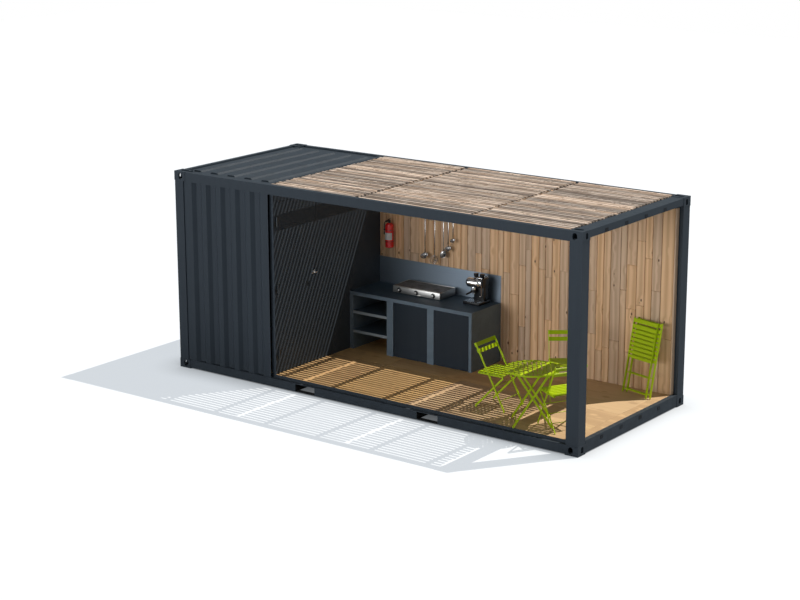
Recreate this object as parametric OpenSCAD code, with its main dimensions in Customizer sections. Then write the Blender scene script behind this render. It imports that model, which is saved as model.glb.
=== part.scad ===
// Container cabin: a twenty-foot steel container with one long side and one end opened up.
// The closed end is a store behind a partition, the rest is a roofed terrace with a kitchen.
// X runs along the container, Y across it and Z up, with the origin under its middle.
// The open long side faces -Y and the open end faces +X.

/* [Container] */
// Length over the corner fittings
container_l = 6058; // [5000:1:7300]
// Width over the corner fittings
container_w = 2438; // [2020:1:2930]
// Height over the corner fittings
container_h = 2591; // [2250:1:3110]
// How far posts, rails and headers stand back from the corner fittings
frame_setback = 4; // [2:0.5:8]

/* [Corner fittings] */
// Length of a fitting along the container
fitting_l = 178; // [170:1:200]
// Width of a fitting across the container
fitting_w = 162; // [155:1:190]
// Height of a fitting
fitting_h = 118; // [110:1:140]
// Thickness of the three outer walls
fitting_wall = 28; // [20:1:32]
// Thickness of the three inner walls
fitting_inner_wall = 10; // [8:1:16]
// Length of the lock slot in the top or bottom face
slot_l = 124; // [118:0.5:128]
// Width of the lock slot
slot_w = 63.5; // [60:0.5:68]
// Slot centre from the container's end
slot_from_end = 102.5; // [98:0.5:106]
// Slot centre from the container's side
slot_from_side = 89.5; // [84:0.5:94]
// Height of the lashing holes in the side and end faces
lash_hole_h = 79.5; // [70:0.5:84]
// Width of the lashing hole in the side face
side_hole_w = 63.5; // [55:0.5:66]
// Width of the lashing hole in the end face
end_hole_w = 51; // [45:0.5:56]

/* [Posts, rails and headers] */
// Face of a closed-end post along the container
post_left_l = 140; // [110:1:170]
// Face of an open-end post along the container
post_right_l = 166; // [120:1:174]
// Face of every post across the container
post_w = 152; // [120:1:158]
// Wall of the post sections
post_wall = 6; // [4:0.5:10]
// Width of the flange that joins a post to the wall sheet
post_flange_w = 36; // [25:1:60]
// Thickness of that flange
post_flange_t = 8; // [5:0.5:12]
// Depth of the top rails and headers
top_rail_h = 118; // [80:1:130]
// Width of the top rails and headers
top_rail_w = 60; // [50:1:90]
// Width of the open end's header, which is as deep as its posts
header_right_w = 166; // [100:1:174]
// Depth of the open end's header
header_right_h = 85; // [60:1:112]
// Wall of the top rails and headers
top_rail_wall = 4; // [3:0.5:8]
// Gap between the top of the rails and the top of the fittings
top_rail_drop = 6; // [4:0.5:12]
// Gap between the base frame and the ground
base_clearance = 12.5; // [8:0.5:20]
// Plate thickness of the bottom rails and sills
bottom_rail_t = 5; // [4:0.5:8]
// Width of the ledge that the long walls stand on
ledge_w = 56; // [52:1:90]
// Height of that ledge above the ground
ledge_z = 120; // [100:1:130]
// Top of the floor above the ground
floor_z = 157; // [145:1:175]
// Width of the end sills
sill_w = 62; // [50:1:90]
// Number of door keepers on the open end's header and on its sill
keeper_count = 4; // [2:1:4]
// Width of a door keeper
keeper_w = 62; // [40:1:80]
// Height of a door keeper
keeper_h = 44; // [30:1:60]
// Distance from a keeper on the header to the header's lower edge
keeper_edge = 4; // [4:1:20]
// Distance from a keeper on the sill to the sill's top
keeper_sill_edge = 24; // [4:1:40]
// Pitch of the door keepers
keeper_pitch = 438; // [300:1:460]
// How far the middle of the keepers' row lies towards the open side
keeper_shift = 47; // [0:1:80]

/* [Base] */
// Clear width of a fork pocket
pocket_w = 305; // [280:1:360]
// Distance between the fork pockets' centres
pocket_pitch = 1870; // [1500:1:2100]
// Plate thickness of the fork pockets
pocket_t = 5; // [4:0.5:8]
// Width of the strap that ties a fork pocket's sides together at each of its mouths
pocket_strap_w = 70; // [60:1:200]
// Largest pitch of the cross members
cross_pitch = 380; // [250:1:450]
// Flange width of a cross member
cross_flange = 45; // [35:1:70]
// Web and flange thickness of a cross member
cross_t = 5; // [4:0.5:8]
// Thickness of the floor boards
floor_t = 28; // [18:1:32]
// Gap around the floor
floor_gap = 2; // [1:0.5:5]

/* [Corrugated sheets] */
// Sheet thickness of walls and roof
sheet_t = 2; // [1.6:0.1:4]
// Pitch of the wall corrugations
wall_pitch = 243; // [200:1:300]
// Width of a wall corrugation's outer flat
wall_flat = 74; // [50:1:90]
// Width of each sloping flank of a wall corrugation
wall_flank = 46; // [30:1:55]
// Depth of the wall corrugations
wall_depth = 36; // [25:1:38]
// Setback of the long walls from the corner fittings
wall_setback = 14; // [10:1:20]
// Length of the long front wall that is left, from the container's end
front_wall_end = 1539; // [1300:1:2200]
// Pitch of the roof swages
roof_pitch = 281; // [220:1:340]
// Width of a roof swage at its top
swage_w = 90; // [60:1:120]
// Width of each sloping side of a swage
swage_flank = 26; // [15:1:40]
// Height of the roof swages
swage_h = 18; // [10:1:22]
// Flat margin between the roof swages and the rails
roof_margin = 150; // [100:1:200]

/* [Slatted roof] */
// Number of slats across the terrace roof
slat_count = 33; // [28:1:36]
// Width of a roof slat
slat_w = 38; // [32:1:44]
// Thickness of a roof slat
slat_t = 20; // [16:1:24]
// Gap between two panels of slats
slat_panel_gap = 36; // [12:1:60]
// Where the first panel ends, as a share of the terrace roof's length
first_joint_share = 0.309; // [0.28:0.001:0.35]
// Where the second panel ends, as a share of the terrace roof's length
second_joint_share = 0.692; // [0.65:0.001:0.72]
// Number of joists under the slats, as far as the terrace roof has room for them
joist_count = 6; // [5:1:8]
// Pitch of the joists
joist_pitch = 790; // [770:1:800]
// Distance from the store's roof to the first joist's middle
joist_from_store = 195; // [170:1:230]
// Width of a joist
joist_w = 45; // [40:1:60]
// Height of a joist
joist_h = 60; // [50:1:75]
// Width of the batten between the slats and a joist
batten_w = 40; // [30:1:45]
// Thickness of that batten
batten_t = 20; // [15:1:25]

/* [Partition and store door] */
// Distance from the container's closed end to the partition's kitchen face
partition_from_end = 1583; // [1400:1:2000]
// How far the partition's kitchen face stands beyond the edge of the store's roof
partition_beyond_roof = 44; // [0:1:56]
// Thickness of the partition
partition_t = 60; // [50:1:90]
// Width of the jamb between the front rail and the door
jamb_w = 55; // [45:1:120]
// Width of the store door
door_w = 765; // [650:1:850]
// Height of the store door
door_h = 2180; // [1800:1:2230]
// Thickness of the store door
door_t = 42; // [35:1:50]
// Clearance around the store door
door_gap = 4; // [3:0.5:8]
// Height of the store door over the floor
door_floor_gap = 8; // [6:0.5:15]
// Height of the lever handle over the floor
handle_z = 1180; // [900:1:1250]
// Distance of the lever's spindle from the door's free edge
handle_backset = 55; // [45:1:80]
// Length of the lever
lever_l = 105; // [90:1:140]
// Diameter of the lever
lever_d = 18; // [14:0.5:22]
// Distance of the lever from the door's face
lever_standoff = 48; // [40:1:60]
// Diameter of a hinge knuckle
knuckle_d = 20; // [16:0.5:24]
// Diameter of a hinge pin
hinge_pin_d = 10; // [8:0.5:12]
// Length of a hinge, both knuckles together
hinge_l = 120; // [80:1:160]

/* [Wall lining] */
// Distance of the lining's face from the container's rear side
lining_from_side = 219; // [180:1:260]
// Thickness of the lining boards
lining_t = 20; // [16:1:28]
// Strip of the rear post's side that stays bare beside the lining's open end
lining_reveal = 54; // [20:1:140]
// Number of level rails behind the lining
lining_rails = 4; // [3:1:6]
// Height of each of those rails
lining_rail_h = 60; // [45:1:90]

/* [Kitchen] */
// Length of the kitchen counter
counter_l = 1935; // [1700:1:2300]
// Depth of the counter
counter_d = 657; // [600:1:760]
// Height of the counter over the floor
counter_h = 775; // [720:1:930]
// Thickness of the counter's top
counter_top_t = 48; // [40:1:70]
// Thickness of the counter's left side
counter_left_t = 56; // [40:1:80]
// Thickness of the two piers between the bays
pier_t = 104; // [80:1:130]
// Thickness of the counter's right side
counter_right_t = 44; // [40:1:80]
// Width of the open shelf bay
shelf_bay_w = 549; // [450:1:620]
// Thickness of a shelf
shelf_t = 36; // [25:1:50]
// Distance from one shelf's top to the next one's, and from the floor to the lowest
shelf_pitch = 260; // [200:1:290]
// Number of shelves in the open bay
shelf_count = 2; // [1:1:2]
// Thickness of a cupboard door
cupboard_door_t = 22; // [18:1:30]
// Clearance around a cupboard door
cupboard_gap = 6; // [5:0.5:10]
// Setback of the cupboard doors from the counter's front
cupboard_setback = 4; // [2:0.5:20]
// Diameter of a cupboard door's pivot pins
pivot_d = 8; // [6:0.5:10]
// Height of the splashback over the counter
splash_h = 350; // [250:1:450]
// Thickness of the splashback
splash_t = 6; // [4:0.5:12]

/* [Kitchen appliances] */
// Length of the griddle
griddle_l = 750; // [600:1:860]
// Depth of the griddle
griddle_d = 345; // [300:1:420]
// Height of the griddle's body
griddle_h = 95; // [80:1:120]
// Height of the griddle's feet
griddle_foot_h = 10; // [6:1:30]
// Distance from the counter's left side to the griddle
griddle_from_left = 510; // [380:1:620]
// Diameter of a griddle knob
knob_d = 52; // [40:1:60]
// Width of the coffee machine
coffee_w = 250; // [200:1:300]
// Depth of the coffee machine
coffee_d = 260; // [200:1:320]
// Height of the coffee machine
coffee_h = 385; // [340:1:420]
// Distance from the counter's right side to the coffee machine
coffee_from_right = 115; // [60:1:260]
// Diameter of the fire extinguisher
extinguisher_d = 110; // [90:1:130]
// Height of the fire extinguisher's bottle
extinguisher_h = 330; // [280:1:400]
// Height of the utensil rail over the floor
utensil_rail_z = 1790; // [1650:1:1900]
// Length of the utensil rail
utensil_rail_l = 780; // [700:1:900]

/* [Terrace furniture] */
// Width of a folding chair
chair_w = 400; // [360:1:440]
// Seat height of a folding chair
chair_seat_h = 450; // [420:1:480]
// Height of a folding chair's back
chair_h = 800; // [740:1:860]
// Distance between a chair's front and rear feet
chair_reach = 420; // [380:1:460]
// Width of the flat bars in a chair's frames
chair_bar = 22; // [18:1:26]
// Thickness of those bars
chair_bar_t = 6; // [5:0.5:8]
// Number of slats in a chair's seat
seat_slats = 7; // [5:1:7]
// Width of a seat slat
seat_slat_w = 38; // [30:1:40]
// Height of each of the two slats in a chair's back
back_slat_h = 48; // [40:1:55]
// Diameter of the table
table_d = 640; // [560:1:700]
// Height of the table
table_h = 665; // [640:1:740]
// Number of slats in the table's top
table_slats = 12; // [8:1:14]
// Width of the flat bars in the table's legs
table_bar = 24; // [20:1:30]
// Distance between the table's feet along each frame
table_reach = 440; // [380:1:480]

/* [Hidden] */

$fn = 48;

steel = "#3b4047";
steel_dark = "#24272c";
weathered_wood = "#b39a80";
pine = "#a9764c";
plank = "#c39a62";
concrete = "#6f7780";
charcoal = "#2a2d33";
stainless = "#a7abae";
lime = "#9cc41c";
red = "#c0161c";

half_l = container_l / 2;
half_w = container_w / 2;

// Outer faces of the frame, which stand back from the fittings.
frame_x = half_l - frame_setback;
frame_y = half_w - frame_setback;
rail_top_z = container_h - top_rail_drop;
rail_bottom_z = rail_top_z - top_rail_h;
post_left_edge = -frame_x + post_left_l;
post_right_edge = frame_x - post_right_l;
floor_under_z = floor_z - floor_t;
// What stands under both the top rails and the top fittings ends here.
frame_top_z = min(rail_bottom_z, container_h - fitting_h);
lip_inner_y = frame_y - ledge_w;

// The long walls stand on the ledge of the bottom rails and end under the top rails.
wall_y = half_w - wall_setback;
wall_left_x = post_left_edge + 15;
wall_h = rail_bottom_z - ledge_z;
front_wall_x1 = -half_l + front_wall_end;
rear_wall_right_x = post_right_edge - 15;

// The partition closes off the store, and the slatted roof starts over it.
partition_x = -half_l + partition_from_end;
partition_back_x = partition_x - partition_t;
store_roof_end = partition_x - partition_beyond_roof;
partition_y0 = -lip_inner_y;
lining_y = half_w - lining_from_side;
partition_y1 = lip_inner_y;
door_y0 = partition_y0 + jamb_w + door_gap;
door_y1 = door_y0 + door_w;
door_z0 = floor_z + door_floor_gap;
door_z1 = door_z0 + door_h;
hinge_x = partition_x + knuckle_d / 2 + 2;
hinge_y = door_y0 - door_gap / 2;
hinge_clear = 0.05;

// The slatted roof runs from the store's roof to the open end's header.
slat_x0 = store_roof_end + 6;
slat_x1 = half_l - max(fitting_l, header_right_w + frame_setback) - 20;
slat_len = slat_x1 - slat_x0;
slat_top_z = container_h - 3;
slat_z = slat_top_z - slat_t;
batten_z = slat_z - batten_t;
slat_y0 = -(frame_y - top_rail_w) + 8;
slat_pitch = (2 * -slat_y0 - slat_w) / (slat_count - 1);
joint_xs = [slat_x0 + slat_len * first_joint_share, slat_x0 + slat_len * second_joint_share];
joist_x0 = store_roof_end + joist_from_store;
joist_room = floor((slat_x1 - joist_w / 2 - joist_x0) / joist_pitch) + 1;
joist_xs = [for (i = [0:min(joist_count, joist_room) - 1]) joist_x0 + i * joist_pitch];

// The kitchen counter stands against the lining with its left side at the partition.
counter_x0 = partition_x + 2;
counter_y1 = lining_y;
counter_y0 = counter_y1 - counter_d;
counter_z = floor_z + counter_h;
counter_under_z = counter_z - counter_top_t;
bay_h = counter_under_z - floor_z;
shelf_x0 = counter_x0 + counter_left_t;
pier1_x = shelf_x0 + shelf_bay_w;
cupboard_w = (counter_l - counter_left_t - shelf_bay_w - 2 * pier_t - counter_right_t) / 2;
cupboard1_x = pier1_x + pier_t;
pier2_x = cupboard1_x + cupboard_w;
cupboard2_x = pier2_x + pier_t;
counter_right_x = cupboard2_x + cupboard_w;
counter_x1 = counter_right_x + counter_right_t;
pivot_play = 0.5;

// ---------------------------------------------------------------- shared shapes

// A box given by its low corner and its size.
module block(at, size) {
    translate(at) cube(size);
}

// A rectangular hollow section that fills the given box and is open along one axis.
module hollow_section(at, size, wall, along) {
    difference() {
        block(at, size);
        block([for (i = [0:2]) at[i] + (i == along ? -1 : wall)],
              [for (i = [0:2]) size[i] + (i == along ? 2 : -2 * wall)]);
    }
}

// An upright oval hole along Y.
module oval(width, height, depth) {
    rotate([90, 0, 0]) linear_extrude(depth, center = true) stadium(width, height);
}

module stadium(width, height) {
    union() {
        square([width, height - width], center = true);
        for (s = [-1, 1]) translate([0, s * (height - width) / 2]) circle(d = width);
    }
}

// One trapezoid corrugation's outline from 0 to its pitch: the outer flat, a flank,
// the inner flat and a flank. Y is the depth, 0 at the outer flat.
function wave(n, pitch, flat, flank, depth) = [
    for (i = [0:n - 1]) each [
        [i * pitch, 0],
        [i * pitch + flat, 0],
        [i * pitch + flat + flank, depth],
        [(i + 1) * pitch - flank, depth]
    ],
    [n * pitch, 0]
];

// A corrugated sheet along +X whose outer flats lie on Y = 0, with plain ends that fill
// the length beyond the whole corrugations.
module corrugated(length, height) {
    n = floor((length - wall_flat) / wall_pitch);
    margin = (length - n * wall_pitch - wall_flat) / 2;
    line = [[0, 0], for (p = wave(n, wall_pitch, wall_flat, wall_flank, wall_depth))
        [p[0] + margin, p[1]], [length, 0]];
    back = [for (i = [len(line) - 1:-1:0]) [line[i][0], line[i][1] + sheet_t]];
    linear_extrude(height) polygon(concat(line, back));
}

// A flat bar in the XZ plane from one point to another, centred on Y.
module flat_bar(from, to, depth, width) {
    dx = to[0] - from[0];
    dz = to[1] - from[1];
    translate([from[0], 0, from[1]]) rotate([0, -atan2(dz, dx), 0])
        translate([0, -width / 2, -depth / 2]) cube([norm([dx, dz]), width, depth]);
}

// Places the children at all four corners, drawn for the corner at +X, +Y.
module at_corners() {
    for (sx = [0, 1], sy = [0, 1]) mirror([1 - sx, 0, 0]) mirror([0, 1 - sy, 0]) children();
}

// ---------------------------------------------------------------- container frame

// A cast corner fitting at +X, +Y, standing on z = 0 with its lock slot underneath.
module fitting() {
    difference() {
        block([half_l - fitting_l, half_w - fitting_w, 0], [fitting_l, fitting_w, fitting_h]);
        block([half_l - fitting_l + fitting_inner_wall, half_w - fitting_w + fitting_inner_wall,
               fitting_wall],
              [fitting_l - fitting_wall - fitting_inner_wall,
               fitting_w - fitting_wall - fitting_inner_wall,
               fitting_h - fitting_wall - fitting_inner_wall]);
        translate([half_l - slot_from_end, half_w - slot_from_side, fitting_wall / 2])
            linear_extrude(fitting_wall + 2, center = true) rotate(90) stadium(slot_w, slot_l);
        translate([half_l - slot_from_end, half_w - fitting_wall / 2, fitting_h / 2 + 4])
            oval(side_hole_w, lash_hole_h, fitting_wall + 2);
        translate([half_l - fitting_wall / 2, half_w - slot_from_side, fitting_h / 2 + 4])
            rotate(90) oval(end_hole_w, lash_hole_h, fitting_wall + 2);
    }
}

module corner_fittings_bottom() {
    color(steel) at_corners() fitting();
}

module corner_fittings_top() {
    color(steel) at_corners() translate([0, 0, container_h]) mirror([0, 0, 1]) fitting();
}

// The space of the top fittings, which the sheets and flanges beside them leave free.
module top_fitting_space() {
    at_corners() block([half_l - fitting_l, half_w - fitting_w, container_h - fitting_h],
                       [fitting_l, fitting_w, fitting_h]);
}

// A hollow post between two fittings, with its outer corner at the frame's corner.
// The flange behind the wall sheet leaves a dark groove beside the post.
module corner_post(sx, sy, face_l, flange) {
    z = fitting_h;
    h = container_h - 2 * fitting_h;
    x0 = sx > 0 ? frame_x - face_l : -frame_x;
    y0 = sy > 0 ? frame_y - post_w : -frame_y;
    color(steel) union() {
        hollow_section([x0, y0, z], [face_l, post_w, h], post_wall, 2);
        if (flange) {
            flange_y = sy > 0 ? wall_y - sheet_t - post_flange_t : -wall_y + sheet_t;
            flange_x = sx > 0 ? x0 - post_flange_w : x0 + face_l;
            difference() {
                block([flange_x, flange_y, ledge_z], [post_flange_w, post_flange_t, wall_h]);
                top_fitting_space();
            }
        }
    }
}

module corner_post_left_front() { corner_post(-1, -1, post_left_l, true); }
module corner_post_left_rear() { corner_post(-1, 1, post_left_l, true); }
module corner_post_right_front() { corner_post(1, -1, post_right_l, false); }
module corner_post_right_rear() { corner_post(1, 1, post_right_l, true); }

// Top rails run between the fittings.
module top_rail(sy) {
    y0 = sy > 0 ? frame_y - top_rail_w : -frame_y;
    color(steel) hollow_section([-half_l + fitting_l, y0, rail_bottom_z],
        [container_l - 2 * fitting_l, top_rail_w, top_rail_h], top_rail_wall, 0);
}

module header(sx) {
    w = sx > 0 ? header_right_w : top_rail_w;
    h = sx > 0 ? header_right_h : top_rail_h;
    x0 = sx > 0 ? frame_x - w : -frame_x;
    color(steel) hollow_section([x0, -half_w + fitting_w, rail_top_z - h],
        [w, container_w - 2 * fitting_w, h], top_rail_wall, 1);
}

module top_rail_front() { top_rail(-1); }
module top_rail_rear() { top_rail(1); }
module header_left() { header(-1); }
module header_right() { header(1); }

// A fork pocket's space, grown by a wall all round, between two distances from the middle.
module pocket_space(grow, y0, y1) {
    for (s = [-1, 1])
        block([s * pocket_pitch / 2 - pocket_w / 2 - grow, y0, pocket_z - grow],
              [pocket_w + 2 * grow, y1 - y0, pocket_h + 2 * grow]);
}

// The pockets' tunnels fill the height between the base's underside and the ledge.
pocket_z = base_clearance + pocket_t;
pocket_h = ledge_z - bottom_rail_t - pocket_t - 0.5 - pocket_z;

// A bottom rail is one bent plate: the outer web, the foot flange, the ledge that the
// wall stands on, and the upright lip behind it.
module bottom_rail(sy) {
    outline = [
        [0, base_clearance], [ledge_w, base_clearance],
        [ledge_w, base_clearance + bottom_rail_t], [bottom_rail_t, base_clearance + bottom_rail_t],
        [bottom_rail_t, ledge_z - bottom_rail_t],
        [ledge_w, ledge_z - bottom_rail_t], [ledge_w, floor_z],
        [ledge_w - bottom_rail_t, floor_z], [ledge_w - bottom_rail_t, ledge_z],
        [0, ledge_z]
    ];
    color(steel) difference() {
        mirror([0, sy > 0 ? 1 : 0, 0]) translate([-half_l + fitting_l, -frame_y, 0])
            rotate([90, 0, 90]) linear_extrude(container_l - 2 * fitting_l) polygon(outline);
        pocket_space(0, -half_w, half_w);
        pocket_space(pocket_t, -frame_y + bottom_rail_t, frame_y - bottom_rail_t);
    }
}

module bottom_rail_front() { bottom_rail(-1); }
module bottom_rail_rear() { bottom_rail(1); }

// End sills are closed sections between the bottom fittings.
module sill(sx) {
    x0 = sx > 0 ? frame_x - sill_w : -frame_x;
    color(steel) hollow_section([x0, -half_w + fitting_w, base_clearance],
        [sill_w, container_w - 2 * fitting_w, floor_z - base_clearance], bottom_rail_t, 1);
}

module sill_left() { sill(-1); }
module sill_right() { sill(1); }

// Keepers for the lock rods of the cargo doors that were taken off.
module door_keepers() {
    depth = frame_setback - 1;
    color(steel_dark) for (i = [0:keeper_count - 1],
                           z = [floor_z - keeper_h - keeper_sill_edge,
                                rail_top_z - header_right_h + keeper_edge]) {
        y = (i - (keeper_count - 1) / 2) * keeper_pitch - keeper_shift;
        difference() {
            block([frame_x, y - keeper_w / 2, z], [depth, keeper_w, keeper_h]);
            block([frame_x - 1, y - keeper_w / 5, z + keeper_h / 3],
                  [depth + 2, keeper_w * 0.4, keeper_h / 3]);
        }
    }
}

// ---------------------------------------------------------------- base and floor

// The pockets' tunnels are open below, except for a strap at each mouth.
module fork_pockets() {
    run = frame_y - bottom_rail_t;
    open_y = run - pocket_strap_w;
    color(steel_dark) difference() {
        pocket_space(pocket_t, -run, run);
        pocket_space(0, -run - 1, run + 1);
        translate([0, 0, -pocket_t - 1]) pocket_space(0, -open_y, open_y);
    }
}

// Cross members are channels between the rails, left out where a fork pocket runs.
module cross_members() {
    run = 2 * (frame_x - sill_w) - 2 * cross_flange;
    n = ceil(run / cross_pitch);
    color(steel_dark) for (i = [1:n - 1]) {
        x = -run / 2 + i * run / n;
        if (min(abs(x - pocket_pitch / 2), abs(x + pocket_pitch / 2))
            > pocket_w / 2 + pocket_t + cross_flange + 5)
            translate([x, -lip_inner_y, base_clearance]) difference() {
                cube([cross_flange, 2 * lip_inner_y, floor_under_z - base_clearance]);
                translate([cross_t, -1, cross_t])
                    cube([cross_flange, 2 * lip_inner_y + 2,
                          floor_under_z - base_clearance - 2 * cross_t]);
            }
    }
}

module floor_boards() {
    x1 = frame_x - sill_w - floor_gap;
    y1 = lip_inner_y - floor_gap;
    color(plank) difference() {
        block([-x1, -y1, floor_under_z], [2 * x1, 2 * y1, floor_t]);
        at_corners()
            block([half_l - fitting_l - floor_gap, half_w - fitting_w - floor_gap,
                   floor_under_z - 1], [fitting_l, fitting_w, floor_t + 2]);
    }
}

// ---------------------------------------------------------------- walls and roof

module front_wall() {
    length = front_wall_x1 - wall_left_x;
    color(steel) difference() {
        translate([wall_left_x, -wall_y, ledge_z]) corrugated(length, wall_h);
        top_fitting_space();
    }
}

module rear_wall() {
    length = rear_wall_right_x - wall_left_x;
    color(steel) difference() {
        translate([rear_wall_right_x, wall_y, ledge_z]) rotate(180) corrugated(length, wall_h);
        top_fitting_space();
    }
}

module left_end_wall() {
    length = 2 * (frame_y - post_w);
    color(steel) difference() {
        translate([-frame_x + 12, length / 2, floor_z]) rotate(-90)
            corrugated(length, rail_bottom_z - floor_z);
        top_fitting_space();
    }
}

// The store's roof is a flat sheet with raised swages across it, closed at their ends.
module roof_sheet() {
    x0 = -frame_x + top_rail_w;
    x1 = store_roof_end - top_rail_w;
    y1 = frame_y - top_rail_w;
    swage_y = y1 - roof_margin;
    z = rail_top_z - swage_h - sheet_t - 2;
    full_w = swage_w + 2 * swage_flank;
    n = floor((x1 - x0 - full_w) / roof_pitch) + 1;
    first = (x0 + x1) / 2 - (n - 1) * roof_pitch / 2;
    color(steel) difference() {
        union() {
            block([x0, -y1, z], [x1 - x0, 2 * y1, sheet_t]);
            for (i = [0:n - 1]) translate([first + i * roof_pitch, swage_y, z + sheet_t])
                swage(2 * swage_y, 0);
        }
        for (i = [0:n - 1]) translate([first + i * roof_pitch, swage_y - sheet_t, z])
            swage(2 * swage_y - 2 * sheet_t, sheet_t);
        at_corners() block([half_l - fitting_l, half_w - fitting_w, z - 1],
                           [fitting_l, fitting_w, sheet_t + 2]);
    }
}

// A raised swage along -Y, made thinner all round by the inset.
module swage(length, inset) {
    drop = inset > 0 ? 1 : 0;
    rotate([90, 0, 0]) linear_extrude(length) polygon([
        [-swage_w / 2 - swage_flank + inset, -drop], [swage_w / 2 + swage_flank - inset, -drop],
        [swage_w / 2 + swage_flank - inset, 0],
        [swage_w / 2 - inset / 2, swage_h], [-swage_w / 2 + inset / 2, swage_h],
        [-swage_w / 2 - swage_flank + inset, 0]
    ]);
}

// The beam that carries the end of the store's roof.
module roof_edge_beam() {
    color(steel) hollow_section([store_roof_end - top_rail_w, -(frame_y - top_rail_w),
        rail_bottom_z], [top_rail_w, 2 * (frame_y - top_rail_w), top_rail_h],
        top_rail_wall, 1);
}

// Joists across the terrace between the top rails.
module roof_joists() {
    color(steel) for (x = joist_xs)
        hollow_section([x - joist_w / 2, -(frame_y - top_rail_w), batten_z - joist_h],
            [joist_w, 2 * (frame_y - top_rail_w), joist_h], top_rail_wall, 1);
}

// One panel: the slats along X, nailed to a batten on each joist below them.
module slat_panel(x0, x1) {
    color(weathered_wood) union() {
        for (i = [0:slat_count - 1])
            block([x0, slat_y0 + i * slat_pitch, slat_z], [x1 - x0, slat_w, slat_t]);
        for (x = joist_xs)
            if (x > x0 && x < x1)
                block([x - batten_w / 2, slat_y0 + 3, batten_z],
                      [batten_w, -2 * slat_y0 - 6, batten_t]);
    }
}

module slat_panel_left() {
    slat_panel(slat_x0, joint_xs[0] - slat_panel_gap / 2);
}

module slat_panel_middle() {
    slat_panel(joint_xs[0] + slat_panel_gap / 2, joint_xs[1] - slat_panel_gap / 2);
}

module slat_panel_right() {
    slat_panel(joint_xs[1] + slat_panel_gap / 2, slat_x1);
}

// ---------------------------------------------------------------- partition and door

module partition_jamb() {
    color(charcoal) block([partition_back_x, partition_y0, floor_z],
        [partition_t, jamb_w, rail_bottom_z - floor_z]);
}

module partition_wall() {
    y0 = door_y1 + door_gap;
    color(charcoal) block([partition_back_x, y0, floor_z],
        [partition_t, partition_y1 - y0, rail_bottom_z - floor_z]);
}

module partition_head() {
    y0 = partition_y0 + jamb_w;
    z0 = door_z1 + door_gap;
    color(charcoal) block([partition_back_x, y0, z0],
        [partition_t, door_y1 + door_gap - y0, rail_bottom_z - z0]);
}

module store_door() {
    color(charcoal) difference() {
        block([partition_x - door_t, door_y0, door_z0], [door_t, door_w, door_h]);
        for (z = hinge_zs()) translate([hinge_x, hinge_y, z - 5])
            cylinder(d = knuckle_d + 8, h = hinge_l + 10);
    }
}

// Heights of the hinges' lower ends.
function hinge_zs() = [door_z0 + 180, door_z0 + (door_h - hinge_l) / 2,
                       door_z0 + door_h - 180 - hinge_l];

// The door's halves of the hinges: a sleeve over the pin with a leaf on the door's face.
module door_hinge_sleeves() {
    color(steel_dark) for (z = hinge_zs()) difference() {
        union() {
            translate([hinge_x, hinge_y, z + hinge_l / 2])
                cylinder(d = knuckle_d, h = hinge_l / 2);
            block([partition_x, hinge_y, z + hinge_l / 2],
                  [4, door_y0 - hinge_y + 40, hinge_l / 2]);
        }
        translate([hinge_x, hinge_y, z + hinge_l / 2 - 1])
            cylinder(d = hinge_pin_d + 2 * hinge_clear, h = hinge_l / 2 + 2);
    }
}

// The jamb's halves of the hinges: a knuckle with the pin standing up out of it.
module hinge_pins() {
    color(steel_dark) for (z = hinge_zs()) union() {
        translate([hinge_x, hinge_y, z]) cylinder(d = knuckle_d, h = hinge_l / 2 - 0.5);
        translate([hinge_x, hinge_y, z]) cylinder(d = hinge_pin_d, h = hinge_l - 4);
        block([partition_x, hinge_y - 40, z], [4, 40, hinge_l / 2 - 0.5]);
    }
}

// A lever and rose on each face, on one spindle.
module door_lever() {
    y = door_y1 - handle_backset;
    z = floor_z + handle_z;
    color(stainless) for (s = [0, 1]) {
        face = s ? partition_x : partition_x - door_t;
        out = s ? 1 : -1;
        union() {
            translate([face, y, z]) rotate([0, out * 90, 0]) cylinder(d = 52, h = 8);
            translate([face, y, z]) rotate([0, out * 90, 0])
                cylinder(d = lever_d - 4, h = lever_standoff);
            translate([face + out * lever_standoff, y + lever_d / 2, z]) rotate([90, 0, 0])
                cylinder(d = lever_d, h = lever_l);
        }
    }
}

// ---------------------------------------------------------------- lining

lining_x0 = partition_x;
lining_x1 = frame_x - lining_reveal - lining_t;
lining_h = frame_top_z - 2 - floor_z;
lining_rails_x1 = post_right_edge - 6;
lining_cavity_y1 = wall_y - wall_depth - sheet_t;

module wall_lining() {
    color(pine) block([lining_x0 + 2, lining_y, floor_z],
        [lining_x1 - lining_x0 - 2, lining_t, lining_h]);
}

// The board that closes the lining's open end, between its face and the rear post.
module lining_end_board() {
    color(pine) block([lining_x1, lining_y, floor_z],
        [lining_t, frame_y - post_w - lining_y, lining_h]);
}

// Level rails between the lining and the rear wall.
module lining_rails_rear() {
    y0 = lining_y + lining_t;
    run_z = lining_h - lining_rail_h;
    color(pine) for (i = [0:lining_rails - 1])
        block([lining_x0 + 2, y0, floor_z + i * run_z / (lining_rails - 1)],
              [lining_rails_x1 - lining_x0 - 2, lining_cavity_y1 - y0, lining_rail_h]);
}

// ---------------------------------------------------------------- kitchen

module counter_top() {
    color(concrete) block([counter_x0, counter_y0, counter_under_z],
        [counter_x1 - counter_x0, counter_d, counter_top_t]);
}

module counter_sides() {
    color(concrete) for (side = [[counter_x0, counter_left_t], [pier1_x, pier_t],
                                 [pier2_x, pier_t], [counter_right_x, counter_right_t]])
        block([side[0], counter_y0, floor_z], [side[1], counter_d, bay_h]);
}

module counter_shelves() {
    color(concrete) for (i = [1:shelf_count])
        block([shelf_x0, counter_y0, floor_z + i * shelf_pitch - shelf_t],
              [shelf_bay_w, counter_d, shelf_t]);
}

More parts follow.
